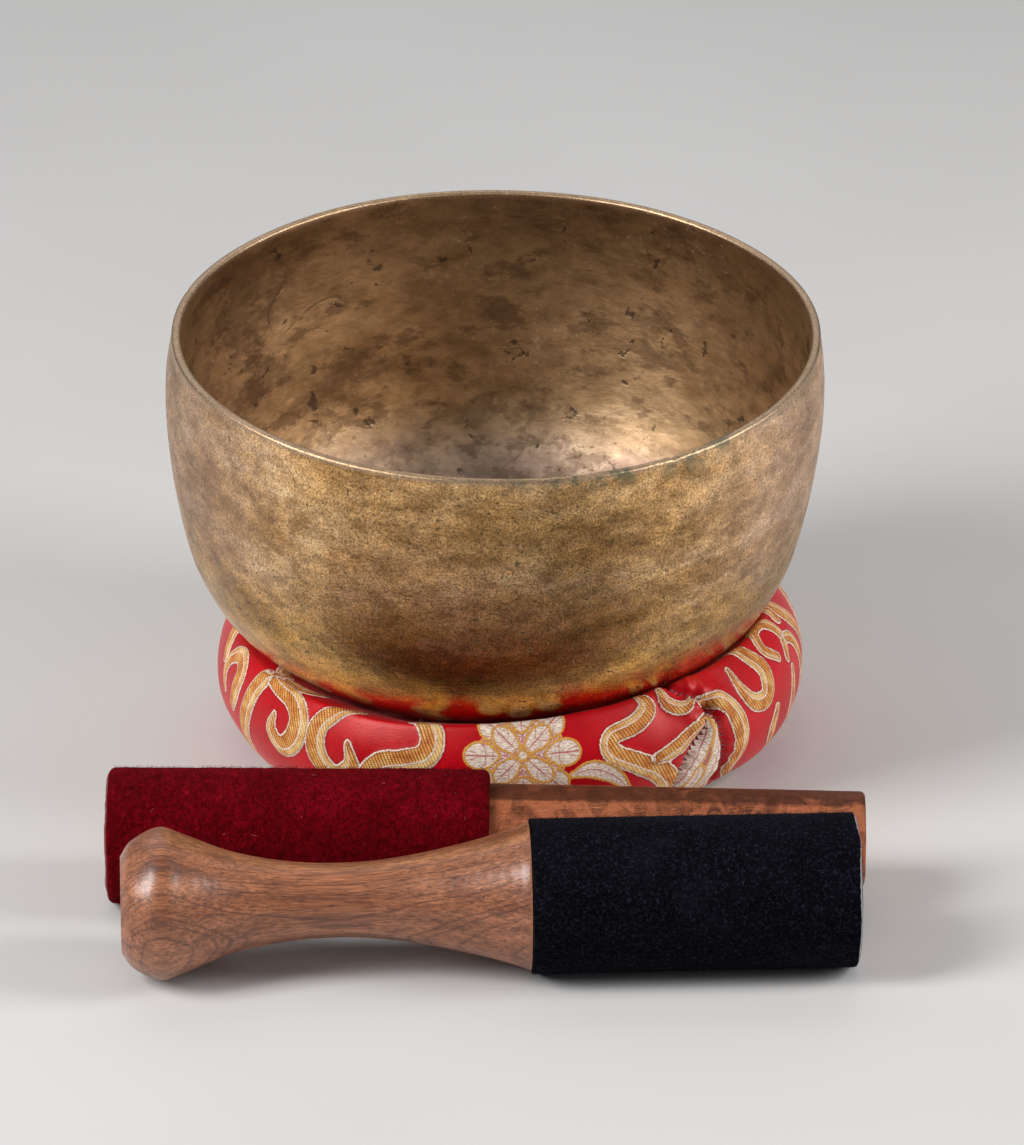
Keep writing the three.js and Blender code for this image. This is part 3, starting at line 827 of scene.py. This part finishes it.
# One repeat of the scrolls, in millimetres of cloth, with the half width of each place
SCROLLS = [
    [(-248, 24, 3), (-243, 16, 3.3), (-239, 9, 2)],
    [(-234, 1, 1.2), (-235.8, 6, 2), (-234, 10.8, 2.5), (-228.5, 14, 2.9), (-224, 11, 3.2),
     (-225, 4, 3.1), (-227, -1, 2)],
    [(-207, 20, 3), (-212.5, 12, 3.2), (-216, 3, 3.3), (-219, -6, 3.2), (-220, -15, 2.8), (-226, -22, 1.8)],
    [(-211, 16.5, 2.6), (-204, 14.5, 3), (-197, 13, 3.6), (-192.5, 8.5, 4.1), (-193.5, 2, 4.1),
     (-198.5, -2, 3.4), (-203, 1.5, 2.4), (-202.5, 6.5, 1)],
    [(-209, 20, 1.6), (-203, 19, 2.2), (-196, 19, 2.4), (-190, 22, 1.5)],
    [(-174, 19, 2.4), (-180, 14.5, 3), (-185, 8.5, 3.6), (-184.5, 0.5, 4), (-178.5, -4.5, 3.7),
     (-173, 0, 2.9), (-174.5, 6.5, 1.1)],
    [(-153, 18.5, 3.6), (-149.5, 12.5, 4), (-151, 7, 4), (-157.5, 4.5, 3.9), (-164, 2.5, 4),
     (-168, -3.5, 3.5), (-163, -10, 1.8)],
    [(-84, -20, 2.6), (-81, -11, 4.1), (-85, -3.5, 4), (-92.5, 1.5, 3.5), (-99.5, 6, 3.1),
     (-99, 10.5, 2.8), (-91.5, 12.5, 3), (-86.5, 16, 2.8), (-88, 20, 1.4)],
    [(-69.5, 8.5, 1.6), (-75, 5.6, 2.3), (-80, 3, 2.6), (-87, 0.5, 2.6)],
    [(-81, 19, 1.3), (-80, 15.5, 2.3), (-75.5, 13, 2), (-71.5, 14.5, 0.9)],
    [(-69, 13, 1.8), (-62, 11, 3), (-57, 4.5, 3.5), (-55, -4, 3.5), (-56.5, -13, 2.8), (-52, -20, 1.6)],
    [(-54, 18, 1), (-52.5, 11.5, 2), (-48, 6, 2.9), (-41.5, 5.5, 3.4), (-39, 12.5, 3.5), (-43, 19, 3),
     (-48, 25, 2)],
    [(-29, 12.5, 1.6), (-34, 17.5, 2.2), (-31, 23, 2.3), (-24, 22.5, 2.4), (-19.5, 16.5, 2.4),
     (-23.5, 10, 1.6)],
    [(-20, 15, 1.6), (-14, 12, 2.4), (-11.5, 5, 2.1), (-13, -4, 1.3)],
    [(-22, 6, 1.4), (-24, -1, 2.5), (-25, -10, 1.6)],
    [(-36.5, 0, 1.4), (-38, -6, 2.4), (-36, -13, 1.4)],
    [(-12, 25, 2.8), (-6.5, 17, 3.6), (-1, 9.5, 3.4), (1, 2, 1.8)],
]
SCROLL_WIDTH = 0.88
FLOWER = (-124.3, 8.0)
BUD_RADIUS = 1.7
# Number of petals, first angle, start, length and half width of each ring of them
INNER_PETALS = 4, math.pi / 4, 1.4, 8.6, 3.1
OUTER_PETALS = 8, 0, 7.4, 7, 4
PETAL_SHAPE = ((0, 0.35), (0.35, 0.8), (0.65, 1), (0.88, 0.62), (1, 0.2))  # share of length, of width
PATCH_RADIUS = 12.0
FLOWER_LEAVES = [[(13, -7, 0.8), (19, -6, 2.6), (25, -9, 2.3), (30, -15, 0.6)],
                 [(-13, -9, 0.8), (-18, -13, 2.4), (-22, -19, 0.8)]]
GUSSET_LEAVES = [[(-68, 8, 0.8), (-70, 3, 2.4), (-73.5, -3, 3.4), (-77, -10, 2.8), (-79, -17, 1)],
                 [(-66, 7, 0.8), (-65.5, 1, 2.2), (-65, -5, 3.2), (-66.5, -13, 3), (-70, -21, 1.2)],
                 [(-71.5, -7, 1.8), (-71, -12, 3.4), (-73, -20, 3), (-76, -29, 1)],
                 [(-62.5, -12, 1.2), (-62.5, -20, 2.8), (-66, -30, 2.6), (-70, -38, 0.8)]]
# Where the repeats go, as (along, up, 1 or -1 for mirrored): the back mirrors the front
REPEATS = [(along + 4 - 4 * way, up, way) for along, up in ((0, 0), (70, 40), (38, -42), (10, 78))
           for way in (1, -1)]


def round_edge(s, t, x, y, radius):
    """Distance outside a circle on the cloth."""
    return np.hypot(wrapped(s - x), t - y) - radius


def petals(x, y, count, first, start, length, half_width):
    """Strokes of a ring of petals, each widest past its middle."""
    for i in range(count):
        turn = first + i / count * 2 * math.pi
        yield [(x + math.cos(turn) * (start + share * length), y + math.sin(turn) * (start + share * length),
                half_width * width) for share, width in PETAL_SHAPE]


def brocade_fields(s, t):
    """The scrolls, flowers and lattice as distances on the cloth."""
    moved = [[(x * way + ds, y + dt, width * SCROLL_WIDTH) for x, y, width in stroke[::way]]
             for ds, dt, way in REPEATS for stroke in SCROLLS]
    scroll, across, _ = stroke_fields(s, t, moved)
    flowers = [(FLOWER[0] * way + ds, FLOWER[1] + dt) for ds, dt, way in REPEATS]
    front, behind, patch = [], [], np.full(s.shape, 6.0)
    for (x, y), (_, _, way) in zip(flowers, REPEATS):
        front += petals(x, y, *INNER_PETALS)
        behind += petals(x, y, *OUTER_PETALS)
        behind += [[(x + ds * way, y + dt, width) for ds, dt, width in leaf] for leaf in FLOWER_LEAVES]
        patch = np.minimum(patch, round_edge(s, t, x, y, PATCH_RADIUS))
    petal, petal_across, petal_along = stroke_fields(s, t, behind, 3.0)
    for layer in (stroke_fields(s, t, front, 3.0), bud_fields(s, t, flowers)):
        above = layer[0] < 0.55
        petal, petal_across, petal_along = (np.where(above, new, old) for new, old in
                                            zip(layer, (petal, petal_across, petal_along)))
    return {"scroll": scroll, "across": across, "petal": petal, "petal_across": petal_across,
            "petal_along": petal_along, "patch": patch}


def bud_fields(s, t, flowers):
    """The round middles of the flowers, which have no midrib or veins."""
    edge = np.full(s.shape, 3.0)
    for x, y in flowers:
        edge = np.minimum(edge, round_edge(s, t, x, y, BUD_RADIUS))
    return edge, np.full(s.shape, 0.5), np.full(s.shape, 0.85)


def gusset_fields(s, t):
    """Overlapping leaves on the gusset's silver cloth."""
    edge, across, along = stroke_fields(s, t, GUSSET_LEAVES, 3.0)
    return {"petal": edge, "petal_across": across, "petal_along": along}


SIM_SCALE = 10 / 1000  # the cloth is simulated ten times full size, in metres
SIM_INSET = 1.6
SIM_AROUND, SIM_SECTION, SIM_FRAMES = 240, 56, 20
SIM_CAP = 2.4


def swollen_by_cloth():
    """Lets a slightly small cover swell under pressure between the bowl and the table, held at its
    seams. Gives how far each place of a coarse grid moves, in millimetres."""
    turns = ring_turns(SIM_AROUND)
    angles, lengths = section_lengths(SIM_SECTION)
    start = pressed_ring(turns, angles, SIM_INSET)
    s, t = crossed(turns * EQUATOR, lengths)
    faces = grid_faces(SIM_AROUND, SIM_SECTION, True, True).tolist()
    cover = make_mesh("sim_cover", start * SIM_SCALE, faces)
    bowl, bowl_faces, _, _ = turned(bowl_outside[::6], 64)
    base = (BOWL_BASE - RING) / MM
    bowl = make_mesh("sim_bowl", (out_of_round(bowl) @ np.array(BOWL_LEAN).T + base) * SIM_SCALE, bowl_faces)
    table = make_mesh("sim_table", [(-2, -2, 0), (2, -2, 0), (2, 2, 0), (-2, 2, 0)], [[0, 1, 2, 3]])
    for solid in (bowl, table):
        solid.modifiers.new("Collision", "COLLISION")
        solid.collision.thickness_outer = 0.004
        solid.collision.cloth_friction = 8
    away = np.minimum.reduce([along_line(s, t, line)[0] for line, _ in SEAMS])
    held = np.nonzero((away < 1.8) | (np.abs(t - INNER_SEAM_AT) < 2.2))[0]
    cover.vertex_groups.new(name="sewn").add(held.tolist(), 1.0, "REPLACE")
    cloth = cover.modifiers.new("Cloth", "CLOTH")
    settings = dict(quality=6, mass=0.25, tension_stiffness=20, compression_stiffness=20, shear_stiffness=8,
                    bending_stiffness=0.6, shrink_min=-0.015, use_pressure=True, uniform_pressure_force=4,
                    vertex_group_mass="sewn")
    for key, value in settings.items():
        setattr(cloth.settings, key, value)
    cloth.settings.effector_weights.gravity = 0
    cloth.collision_settings.distance_min = 0.004
    cloth.point_cache.frame_end = SIM_FRAMES
    scene = bpy.context.scene
    for number in range(1, SIM_FRAMES + 1):
        scene.frame_set(number)
    result = cover.evaluated_get(bpy.context.evaluated_depsgraph_get()).to_mesh()
    end = np.empty(len(start) * 3, np.float32)
    result.vertices.foreach_get("co", end)
    moved = end.reshape(-1, 3) / SIM_SCALE - start
    for piece in (cover, bowl, table):
        bpy.data.objects.remove(piece)
    scene.frame_set(1)
    length = np.linalg.norm(moved, axis=1, keepdims=True)
    moved = (moved * np.minimum(1, SIM_CAP / np.maximum(length, 1e-9))).reshape(SIM_AROUND, SIM_SECTION, 3)
    for _ in range(2):
        for axis in (0, 1):
            moved = moved / 2 + (np.roll(moved, 1, axis) + np.roll(moved, -1, axis)) / 4
    return moved


class Cushion:
    """The cover's surface as a grid: rows go round the ring, columns round its section."""

    def __init__(self):
        turns = ring_turns(AROUND)
        angles, self.lengths = section_lengths(SECTION)
        self.s, self.t = crossed(turns * EQUATOR, self.lengths)
        self.faces = grid_faces(AROUND, SECTION, True, True)
        self.points = pressed_ring(turns, angles, SIM_INSET) + self.finer(swollen_by_cloth())
        self.soften()
        self.pucker()
        self.fields = brocade_fields(self.s, self.t)
        self.raise_threads()

    @staticmethod
    def finer(grid):
        """Spreads the coarse grid's movement smoothly over the fine grid."""
        for axis, count, coarse in ((0, AROUND, SIM_AROUND), (1, SECTION, SIM_SECTION)):
            place = np.arange(count) / count * coarse
            cell = np.floor(place).astype(int)
            share = (place - cell).reshape([-1 if k == axis else 1 for k in range(3)])
            grid = between(*(np.take(grid, (cell + k) % coarse, axis=axis) for k in (-1, 0, 1, 2)), share)
        return grid.reshape(-1, 3)

    def push(self, amount):
        normals = grid_normals(self.points.reshape(AROUND, SECTION, 3)).reshape(-1, 3)
        above = smoothstep(self.points[:, 2], 0.0, 3.0)
        self.points = self.points + normals * (amount * (0.15 + 0.85 * above))[:, None]
        limit = underside_at(self.points) - 0.12
        self.points[:, 2] = np.clip(np.minimum(self.points[:, 2], limit), 0, None)

    def soften(self):
        """Slow waves of the stuffing, and shallow folds that run round the section."""
        folds = soft_noise(np.column_stack([self.s, self.t * 0.25, 0 * self.s]), 9.0, 21)
        inward = smoothstep(np.abs(self.t), 22, 50)
        self.push(0.55 * soft_noise(self.points, 30.0, 11) + folds * (0.18 + 0.67 * inward))

    def pucker(self):
        """The cloth dips into each seam and gathers into short ripples beside it."""
        amount = np.zeros(len(self.s))
        for line, depth in SEAMS:
            away, along = along_line(self.s, self.t, line)
            ripple = np.sin(along * 1.15 + 2.0 * np.sin(along * 0.37)) * np.exp(-((away - 2.8) / 2.8) ** 2)
            amount += 0.24 * ripple + 0.45 * np.exp(-((away - 4.5) / 3.0) ** 2)
            amount -= depth * np.exp(-((away / 1.25) ** 2))
        self.push(amount)

    def raise_threads(self):
        """The woven scrolls stand a little proud of the satin."""
        edge = np.minimum(self.fields["scroll"], self.fields["patch"])
        self.push(0.2 * smoothstep(edge, 0.5, -0.5))

    def at(self, s, t, lift=0.0):
        """Points on the cloth at (s, t), raised by `lift` millimetres along its normal."""
        grid = self.points.reshape(AROUND, SECTION, 3)
        normals = grid_normals(grid)
        row = (np.asarray(s) / EQUATOR / math.pi + 1) / 2 * AROUND
        column = np.interp(t, self.lengths, np.arange(SECTION))
        i, j = np.floor(row).astype(int), np.floor(column).astype(int)
        u, v = (row - i)[:, None], (column - j)[:, None]

        def blend(table):
            near, far = (table[k % AROUND, j] * (1 - v) + table[k % AROUND, (j + 1) % SECTION] * v
                         for k in (i, i + 1))
            return near * (1 - u) + far * u

        return blend(grid) + blend(normals) * np.asarray(lift)[..., None]

    def part(self, name, chosen, fields):
        """A piece made of the chosen faces."""
        used, renumbered = np.unique(self.faces[chosen], return_inverse=True)
        fields = {**fields, "cloth": np.column_stack([self.s, self.t, 0 * self.s])}
        return make_mesh(name, self.points[used] * MM + RING, renumbered.reshape(-1, 4).tolist(),
                         {key: values[used] for key, values in fields.items()})

    def in_gusset(self):
        """Which faces lie between the gusset's two seams."""
        left, right = spline(GUSSET_LEFT, 80)[::-1], spline(GUSSET_RIGHT, 80)[::-1]
        s, t = self.s[self.faces[:, [0, 2]]].mean(1), self.t[self.faces[:, [0, 2]]].mean(1)
        inside = (s > np.interp(t, left[:, 1], left[:, 0])) & (s < np.interp(t, right[:, 1], right[:, 0]))
        return inside & (t < GUSSET_LEFT[0][1]) & (t > GUSSET_LEFT[-1][1])


def stitches(cushion, lines, spacing=1.7, slant=0.9, radius=0.24):
    """A row of short slanting stitches across each line."""
    share = np.linspace(-1, 1, 7)
    places = []
    for line in lines:
        line = spline(line, 200)
        spots = resample(line, int(np.linalg.norm(np.diff(line, axis=0), axis=1).sum() / spacing))
        ways = unit(np.gradient(spots, axis=0))
        reach = slant * (1 + 0.25 * np.sin(np.arange(len(spots)) * 2.4))
        across = np.stack([-ways[:, 1], ways[:, 0]], -1) * reach[:, None] + ways * 0.45
        places.append(spots[:, None] + share[None, :, None] * across[:, None])
    places = np.vstack(places)
    lift = np.broadcast_to(0.28 - 0.55 * share**2, places.shape[:2])
    points = cushion.at(places[..., 0].ravel(), places[..., 1].ravel(), lift.ravel())
    vertices, faces = joined([tube(row, radius, 6) for row in points.reshape(*places.shape[:2], 3)])
    return vertices * MM + RING, faces


def build_cushion(brocade, silver, thread, wadding):
    cushion = Cushion()
    gusset = cushion.in_gusset()
    cover = cushion.part("cushion_brocade", ~gusset, cushion.fields)
    keep(cover, "cushion", "brocade", brocade, "cushion_cover")
    panel = cushion.part("cushion_gusset_panel", gusset, gusset_fields(cushion.s, cushion.t))
    keep(panel, "cushion", "silver_brocade", silver, "cushion_gusset")
    for name, lines, node in (("gusset_left_stitches", [GATHER, GUSSET_LEFT], "gusset_left_seam"),
                              ("gusset_right_stitches", [GUSSET_RIGHT, CLOSING], "gusset_right_seam")):
        keep(make_mesh(name, *stitches(cushion, lines)), "cushion", "seam_thread", thread, node)
    inner_line = [(s, INNER_SEAM_AT) for s in np.linspace(-GIRTH / 2, GIRTH / 2, 60)[:-1]]
    sewn = make_mesh("inner_seam_stitches", *stitches(cushion, [inner_line], 4.0, 1.4, 0.3))
    keep(sewn, "cushion", "seam_thread", thread, "cover_inner_seam")
    ring = pressed_ring(*map(full_turn, WADDING_GRID), 3.2)
    normals = grid_normals(ring.reshape(*WADDING_GRID, 3)).reshape(-1, 3)
    ring = ring + normals * (soft_noise(ring, 8.0, 31) * 0.4 - 0.6)[:, None]
    stuffing = make_mesh("cushion_wadding", ring * MM + RING, grid_faces(*WADDING_GRID, True, True).tolist())
    keep(stuffing, "cushion", "stuffing", wadding, "cushion_filling")


# ---- Mallets, each built along +Z from its left end ----
STICK_LENGTH, STICK_LEFT, STICK_RIGHT = 200, 14.3, 12.6
FELT_LENGTH, FELT_RADIUS, FELT_SOFTNESS = 101, 18, 2.2
MALLET_LENGTH, SUEDE_START, SUEDE_RADIUS, SUEDE_CORE_RADIUS, SUEDE_SOFTNESS = 191.4, 106.2, 20.15, 18.3, 0.4
SUEDE_LENGTH = MALLET_LENGTH - SUEDE_START
END_RECESS = 0.8
GLUE_GAP = 0.15
BUTT_JOINT_AT = math.radians(50)
WOOD_SEGMENTS, SLEEVE_SEGMENTS = 220, 300
HANDLE_OUTLINE = [(12.6, 0), (16.6, 3), (19.9, 10), (17.9, 16.6), (13.3, 28.6), (10.6, 42), (9.7, 56),
                  (10.6, 70), (13.7, 87), (17.2, 100), (19.3, 106)]


def laid(points, mallet):
    """Lays a mallet's points down on their side, with their own X pointing down."""
    _, end, turn = mallet
    x, y = turned_by(points[:, 2], points[:, 1], turn)
    points = np.stack([x, y, -points[:, 0]], -1) * MM + end
    points[:, 2] = np.maximum(points[:, 2], 0)
    return points


def chamfered(radius, place, size, outward):
    """A rounded corner of an end face, from the face out to the side or back."""
    turn = np.linspace(0, math.pi / 2, 7)
    corner = np.stack([radius - size + size * np.sin(turn), place + (size - size * np.cos(turn)) * outward], -1)
    return corner if outward > 0 else corner[::-1]


def flat_end(radius, place):
    return np.linspace((0, place), (radius, place), 14)[:-1]


def stick_outline():
    left = np.vstack([flat_end(STICK_LEFT - 1, END_RECESS), chamfered(STICK_LEFT, END_RECESS, 1, 1)])
    corners = [(STICK_LEFT, END_RECESS + 1.5), (STICK_LEFT, FELT_LENGTH), (STICK_RIGHT, STICK_LENGTH - 1.6)]
    return np.vstack([left, resample(np.array(corners), 150), chamfered(STICK_RIGHT, STICK_LENGTH, 1.3, -1),
                      flat_end(STICK_RIGHT - 1.3, STICK_LENGTH)[::-1]])


def handle_outline():
    core_end = MALLET_LENGTH - END_RECESS
    core = np.linspace((SUEDE_CORE_RADIUS, 106.1), (SUEDE_CORE_RADIUS, core_end - 1.2), 40)
    shoulder = [(19.25, 106.08), (18.8, 106.1)]
    return np.vstack([flat_end(HANDLE_OUTLINE[0][0], 0), spline(HANDLE_OUTLINE, 190), shoulder, core,
                      chamfered(SUEDE_CORE_RADIUS, core_end, 1, -1),
                      flat_end(SUEDE_CORE_RADIUS - 1, core_end)[::-1]])


def build_wood(name, outline, mallet, material, node, shift, figure, raw_from):
    """Turned wood, cut from the place in the tree that `shift` says; unfinished at `raw_from`."""
    vertices, faces, _, _ = turned(outline, WOOD_SEGMENTS)
    grain = vertices[:, ::-1] * MM + np.array(shift)
    lathe_marks = 0.012 * np.sin(vertices[:, 2] * 9.0) + 0.03 * soft_noise(vertices * [1, 1, 0.4], 6.0, 41)
    vertices = vertices + normals_of(vertices, faces) * lathe_marks[:, None]
    x, y, along = vertices.T
    radius = np.hypot(x, y)
    curl = figure * np.sin(0.62 * along + 2.6 * soft_noise(vertices * [1, 1, 0.3], 12.0, 43))
    grain[:, 1:] += 0.0011 * curl[:, None]
    fields = {"grain": grain, "figure": np.full(len(grain), float(figure)), "curl": curl,
              # Painted shade along the upward-facing top of the figured stick
              "top_shade": figure * smoothstep(-x / radius.clip(1e-6), 0.87, 0.98) * smoothstep(radius, 10.5, 12.4),
              "raw": smoothstep(along - raw_from, 0, 0.5) * smoothstep(along - raw_from, 3, 2)}
    keep(make_mesh(name, laid(vertices, mallet), faces, fields), mallet[0], "walnut", material, node)


def build_sleeve(name, mallet, slot, material, node, sizes, shape):
    """A wrapped sleeve; `shape` gives how far each vertex moves out and along, and its backing."""
    inner, outer, start, length, softness = sizes
    left = np.vstack([[(inner, 0.0)], chamfered(outer, 0, softness, 1)])
    side = np.linspace((outer, softness), (outer, length - softness), 230)[1:-1]
    right = np.vstack([chamfered(outer, length, softness, -1), [(inner, length)]])
    bore = np.linspace((inner, length), (inner, 0.0), 30)[1:-1]
    vertices, faces, around, _ = turned(np.vstack([left, side, right, bore]), SLEEVE_SEGMENTS, closed=True)
    normals = normals_of(vertices, faces)
    out, along, backing = shape(vertices, normals[:, 2], around)
    vertices = vertices + normals * out[:, None]
    vertices[:, 2] += along + start
    fields = {"place": vertices[:, [2, 0, 1]] * MM, "backing": backing}
    keep(make_mesh(name, laid(vertices, mallet), faces, fields), mallet[0], slot, material, node)


def felt_shape(vertices, facing, around):
    outside = smoothstep(np.hypot(*vertices.T[:2]) - STICK_LEFT, 0.8, 1.6)
    butt = np.exp(-((around - BUTT_JOINT_AT) * FELT_RADIUS / 0.6) ** 2)
    bumps = sum(depth * soft_noise(vertices, size, seed) for depth, size, seed in
                ((0.1, 0.9, 51), (0.07, 2.4, 52), (0.16, 14, 53)))
    along = 0.35 * soft_noise(vertices * [1, 1, 0], 7.0, 54) * smoothstep(np.abs(facing), 0.3, 1)
    backing = smoothstep(-facing, 0.75, 0.98) * smoothstep(vertices[:, 2], 1.5, 0.2)
    return outside * (bumps - 0.9 * butt), along, backing


def suede_shape(vertices, facing, around):
    outside = smoothstep(np.hypot(*vertices.T[:2]) - SUEDE_CORE_RADIUS, 0.5, 1.0)
    butt = np.exp(-((around - BUTT_JOINT_AT) * SUEDE_RADIUS / 0.4) ** 2)
    bumps = 0.035 * soft_noise(vertices, 0.9, 61) + 0.05 * soft_noise(vertices, 6.0, 62)
    right = smoothstep(vertices[:, 2], SUEDE_LENGTH - 6, SUEDE_LENGTH)
    left = smoothstep(vertices[:, 2], 6, 0)
    ragged, wavy = (depth * soft_noise(vertices * [1, 1, 0], size, seed) for depth, size, seed in
                    ((0.12, 1.2, 63), (0.55, 9.0, 64)))
    along = outside * (right * (wavy - 0.5 + ragged) + left * (ragged + 0.1))
    return outside * (bumps - 0.5 * butt), along, smoothstep(facing, 0.5, 0.9)


def lint():
    """Short pale fibres lying on the felt, as (points, radius, sides) each."""
    rng = np.random.default_rng(7)
    share = np.linspace(-0.5, 0.5, 6)
    for _ in range(46):
        turn, place = rng.uniform(0, 2 * math.pi), rng.uniform(4, FELT_LENGTH - 4)
        heading, bend = rng.uniform(0, math.pi), rng.uniform(-0.8, 0.8)
        length = rng.uniform(0.6, 2.0)
        way = heading + bend * share
        angle = turn + np.cumsum(np.sin(way)) / 6 * length / FELT_RADIUS
        along = place + np.cumsum(np.cos(way)) / 6 * length
        radius = FELT_RADIUS + 0.12 + rng.uniform(0, 0.25) * np.cos(share * math.pi)
        yield polar(radius, angle, along), rng.uniform(0.02, 0.045), 4


def fuzz(count, radius, low, high, reach, girth, seed):
    """Short curling fibres that stand out of a sleeve's outside, as (points, radius, sides) each."""
    rng = np.random.default_rng(seed)
    share = np.linspace(0, 1, 3)
    for _ in range(count):
        around, along = rng.uniform(0, 2 * math.pi), rng.uniform(low, high)
        lean, heading, length = rng.uniform(0.5, 1.3), rng.uniform(0, 2 * math.pi), rng.uniform(0.4, 1) * reach
        out = radius - 0.1 + length * share * np.cos(lean * share)
        aside = length * share * np.sin(lean * share)
        yield polar(out, around + aside * np.sin(heading) / radius, along + aside * np.cos(heading)), girth, 3


def build_fibres(name, mallet, slot, material, fibres):
    vertices, faces = joined([tube(*fibre) for fibre in fibres])
    keep(make_mesh(name, laid(vertices, mallet), faces), mallet[0], slot, material)


def build_mallets(lacquered, waxed, felt, suede, fluff):
    build_wood("striker_stick", stick_outline(), STRIKER, waxed, "felt_mallet_stick", (0.31, 0.014, 0.022), 1,
               STICK_LENGTH)
    build_sleeve("striker_felt", STRIKER, "red_felt", felt, "felt_sleeve",
                 (STICK_LEFT + GLUE_GAP, FELT_RADIUS, 0, FELT_LENGTH, FELT_SOFTNESS), felt_shape)
    build_fibres("felt_lint", STRIKER, "red_felt", fluff, lint())
    build_fibres("felt_fuzz", STRIKER, "red_felt", felt,
                 fuzz(8000, FELT_RADIUS, 1.5, FELT_LENGTH - 1.5, 1.4, 0.034, 71))
    build_wood("mallet_handle", handle_outline(), MALLET, lacquered, "suede_mallet_handle", (0, 0, 0), 0,
               SUEDE_START - 0.7)
    build_sleeve("mallet_suede", MALLET, "black_suede", suede, "suede_sleeve",
                 (SUEDE_CORE_RADIUS + GLUE_GAP, SUEDE_RADIUS, SUEDE_START, SUEDE_LENGTH, SUEDE_SOFTNESS),
                 suede_shape)
    build_fibres("suede_nap", MALLET, "black_suede", suede,
                 fuzz(9000, SUEDE_RADIUS, SUEDE_START + 0.4, MALLET_LENGTH - 0.8, 0.95, 0.03, 72))


# ---- Room ----
FLOOR_RADIUS, FLOOR_DROP = 4, -0.0002
LIGHTS_AIM = np.array([0, -0.02, 0.06])
SOFTBOXES = {"softbox_left": ((-0.95, -0.55, 0.85), (0.45, 0.75), 17),  # place, size, watts
             "softbox_right": ((1.05, -0.3, 0.6), (0.45, 0.8), 11),
             "softbox_top": ((-0.1, 0.75, 0.95), (1.5, 0.9), 3.8)}


def build_floor():
    look = Look("floor_paint", Roughness=0.75, Specular_IOR_Level=0.25)
    color = look.place().noise(3, 3).ramp((0.4, 0.6, 0.59, 0.58), (0.6, 0.63, 0.62, 0.61))
    rim = polar(FLOOR_RADIUS, full_turn(96), FLOOR_DROP)
    floor = make_mesh("floor", rim, [list(range(96))])
    floor.data.materials.append(look.finish(Base_Color=color))


def soft_light(name, place, size, watts):
    data = bpy.data.lights.new(name, "AREA")
    data.shape = "RECTANGLE"
    data.size, data.size_y = size
    data.energy = watts
    light = new_object(name, data)
    light.location = RING + np.array(place)
    aim = Vector(RING + LIGHTS_AIM) - Vector(light.location)
    light.rotation_euler = aim.to_track_quat("-Z", "Y").to_euler()


def build_room():
    build_floor()
    for name, box in SOFTBOXES.items():
        soft_light(name, *box)
    world = bpy.data.worlds.new("studio")
    bpy.context.scene.world = world
    world.use_nodes = True
    background = world.node_tree.nodes["Background"].inputs
    background["Color"].default_value = (0.62, 0.63, 0.66, 1)
    background["Strength"].default_value = 0.26


def build_camera():
    data = bpy.data.cameras.new("camera")
    data.lens = CAMERA_LENS
    data.sensor_width = CAMERA_SENSOR
    data.clip_end = 20
    camera = new_object("camera", data)
    camera.location = CAMERA
    camera.rotation_euler = (math.pi / 2 - CAMERA_PITCH, 0, 0)
    bpy.context.scene.camera = camera


bpy.context.scene.view_settings.view_transform = "Standard"
build_camera()
build_room()
build_bowl(bronze_look())
build_cushion(brocade_look(), silver_brocade_look(), thread_look(), wadding_look())
build_mallets(walnut_look("walnut", 0.55, 0.3), walnut_look("waxed_walnut", 0.03, 0.06), felt_look(),
              suede_look(), lint_look())
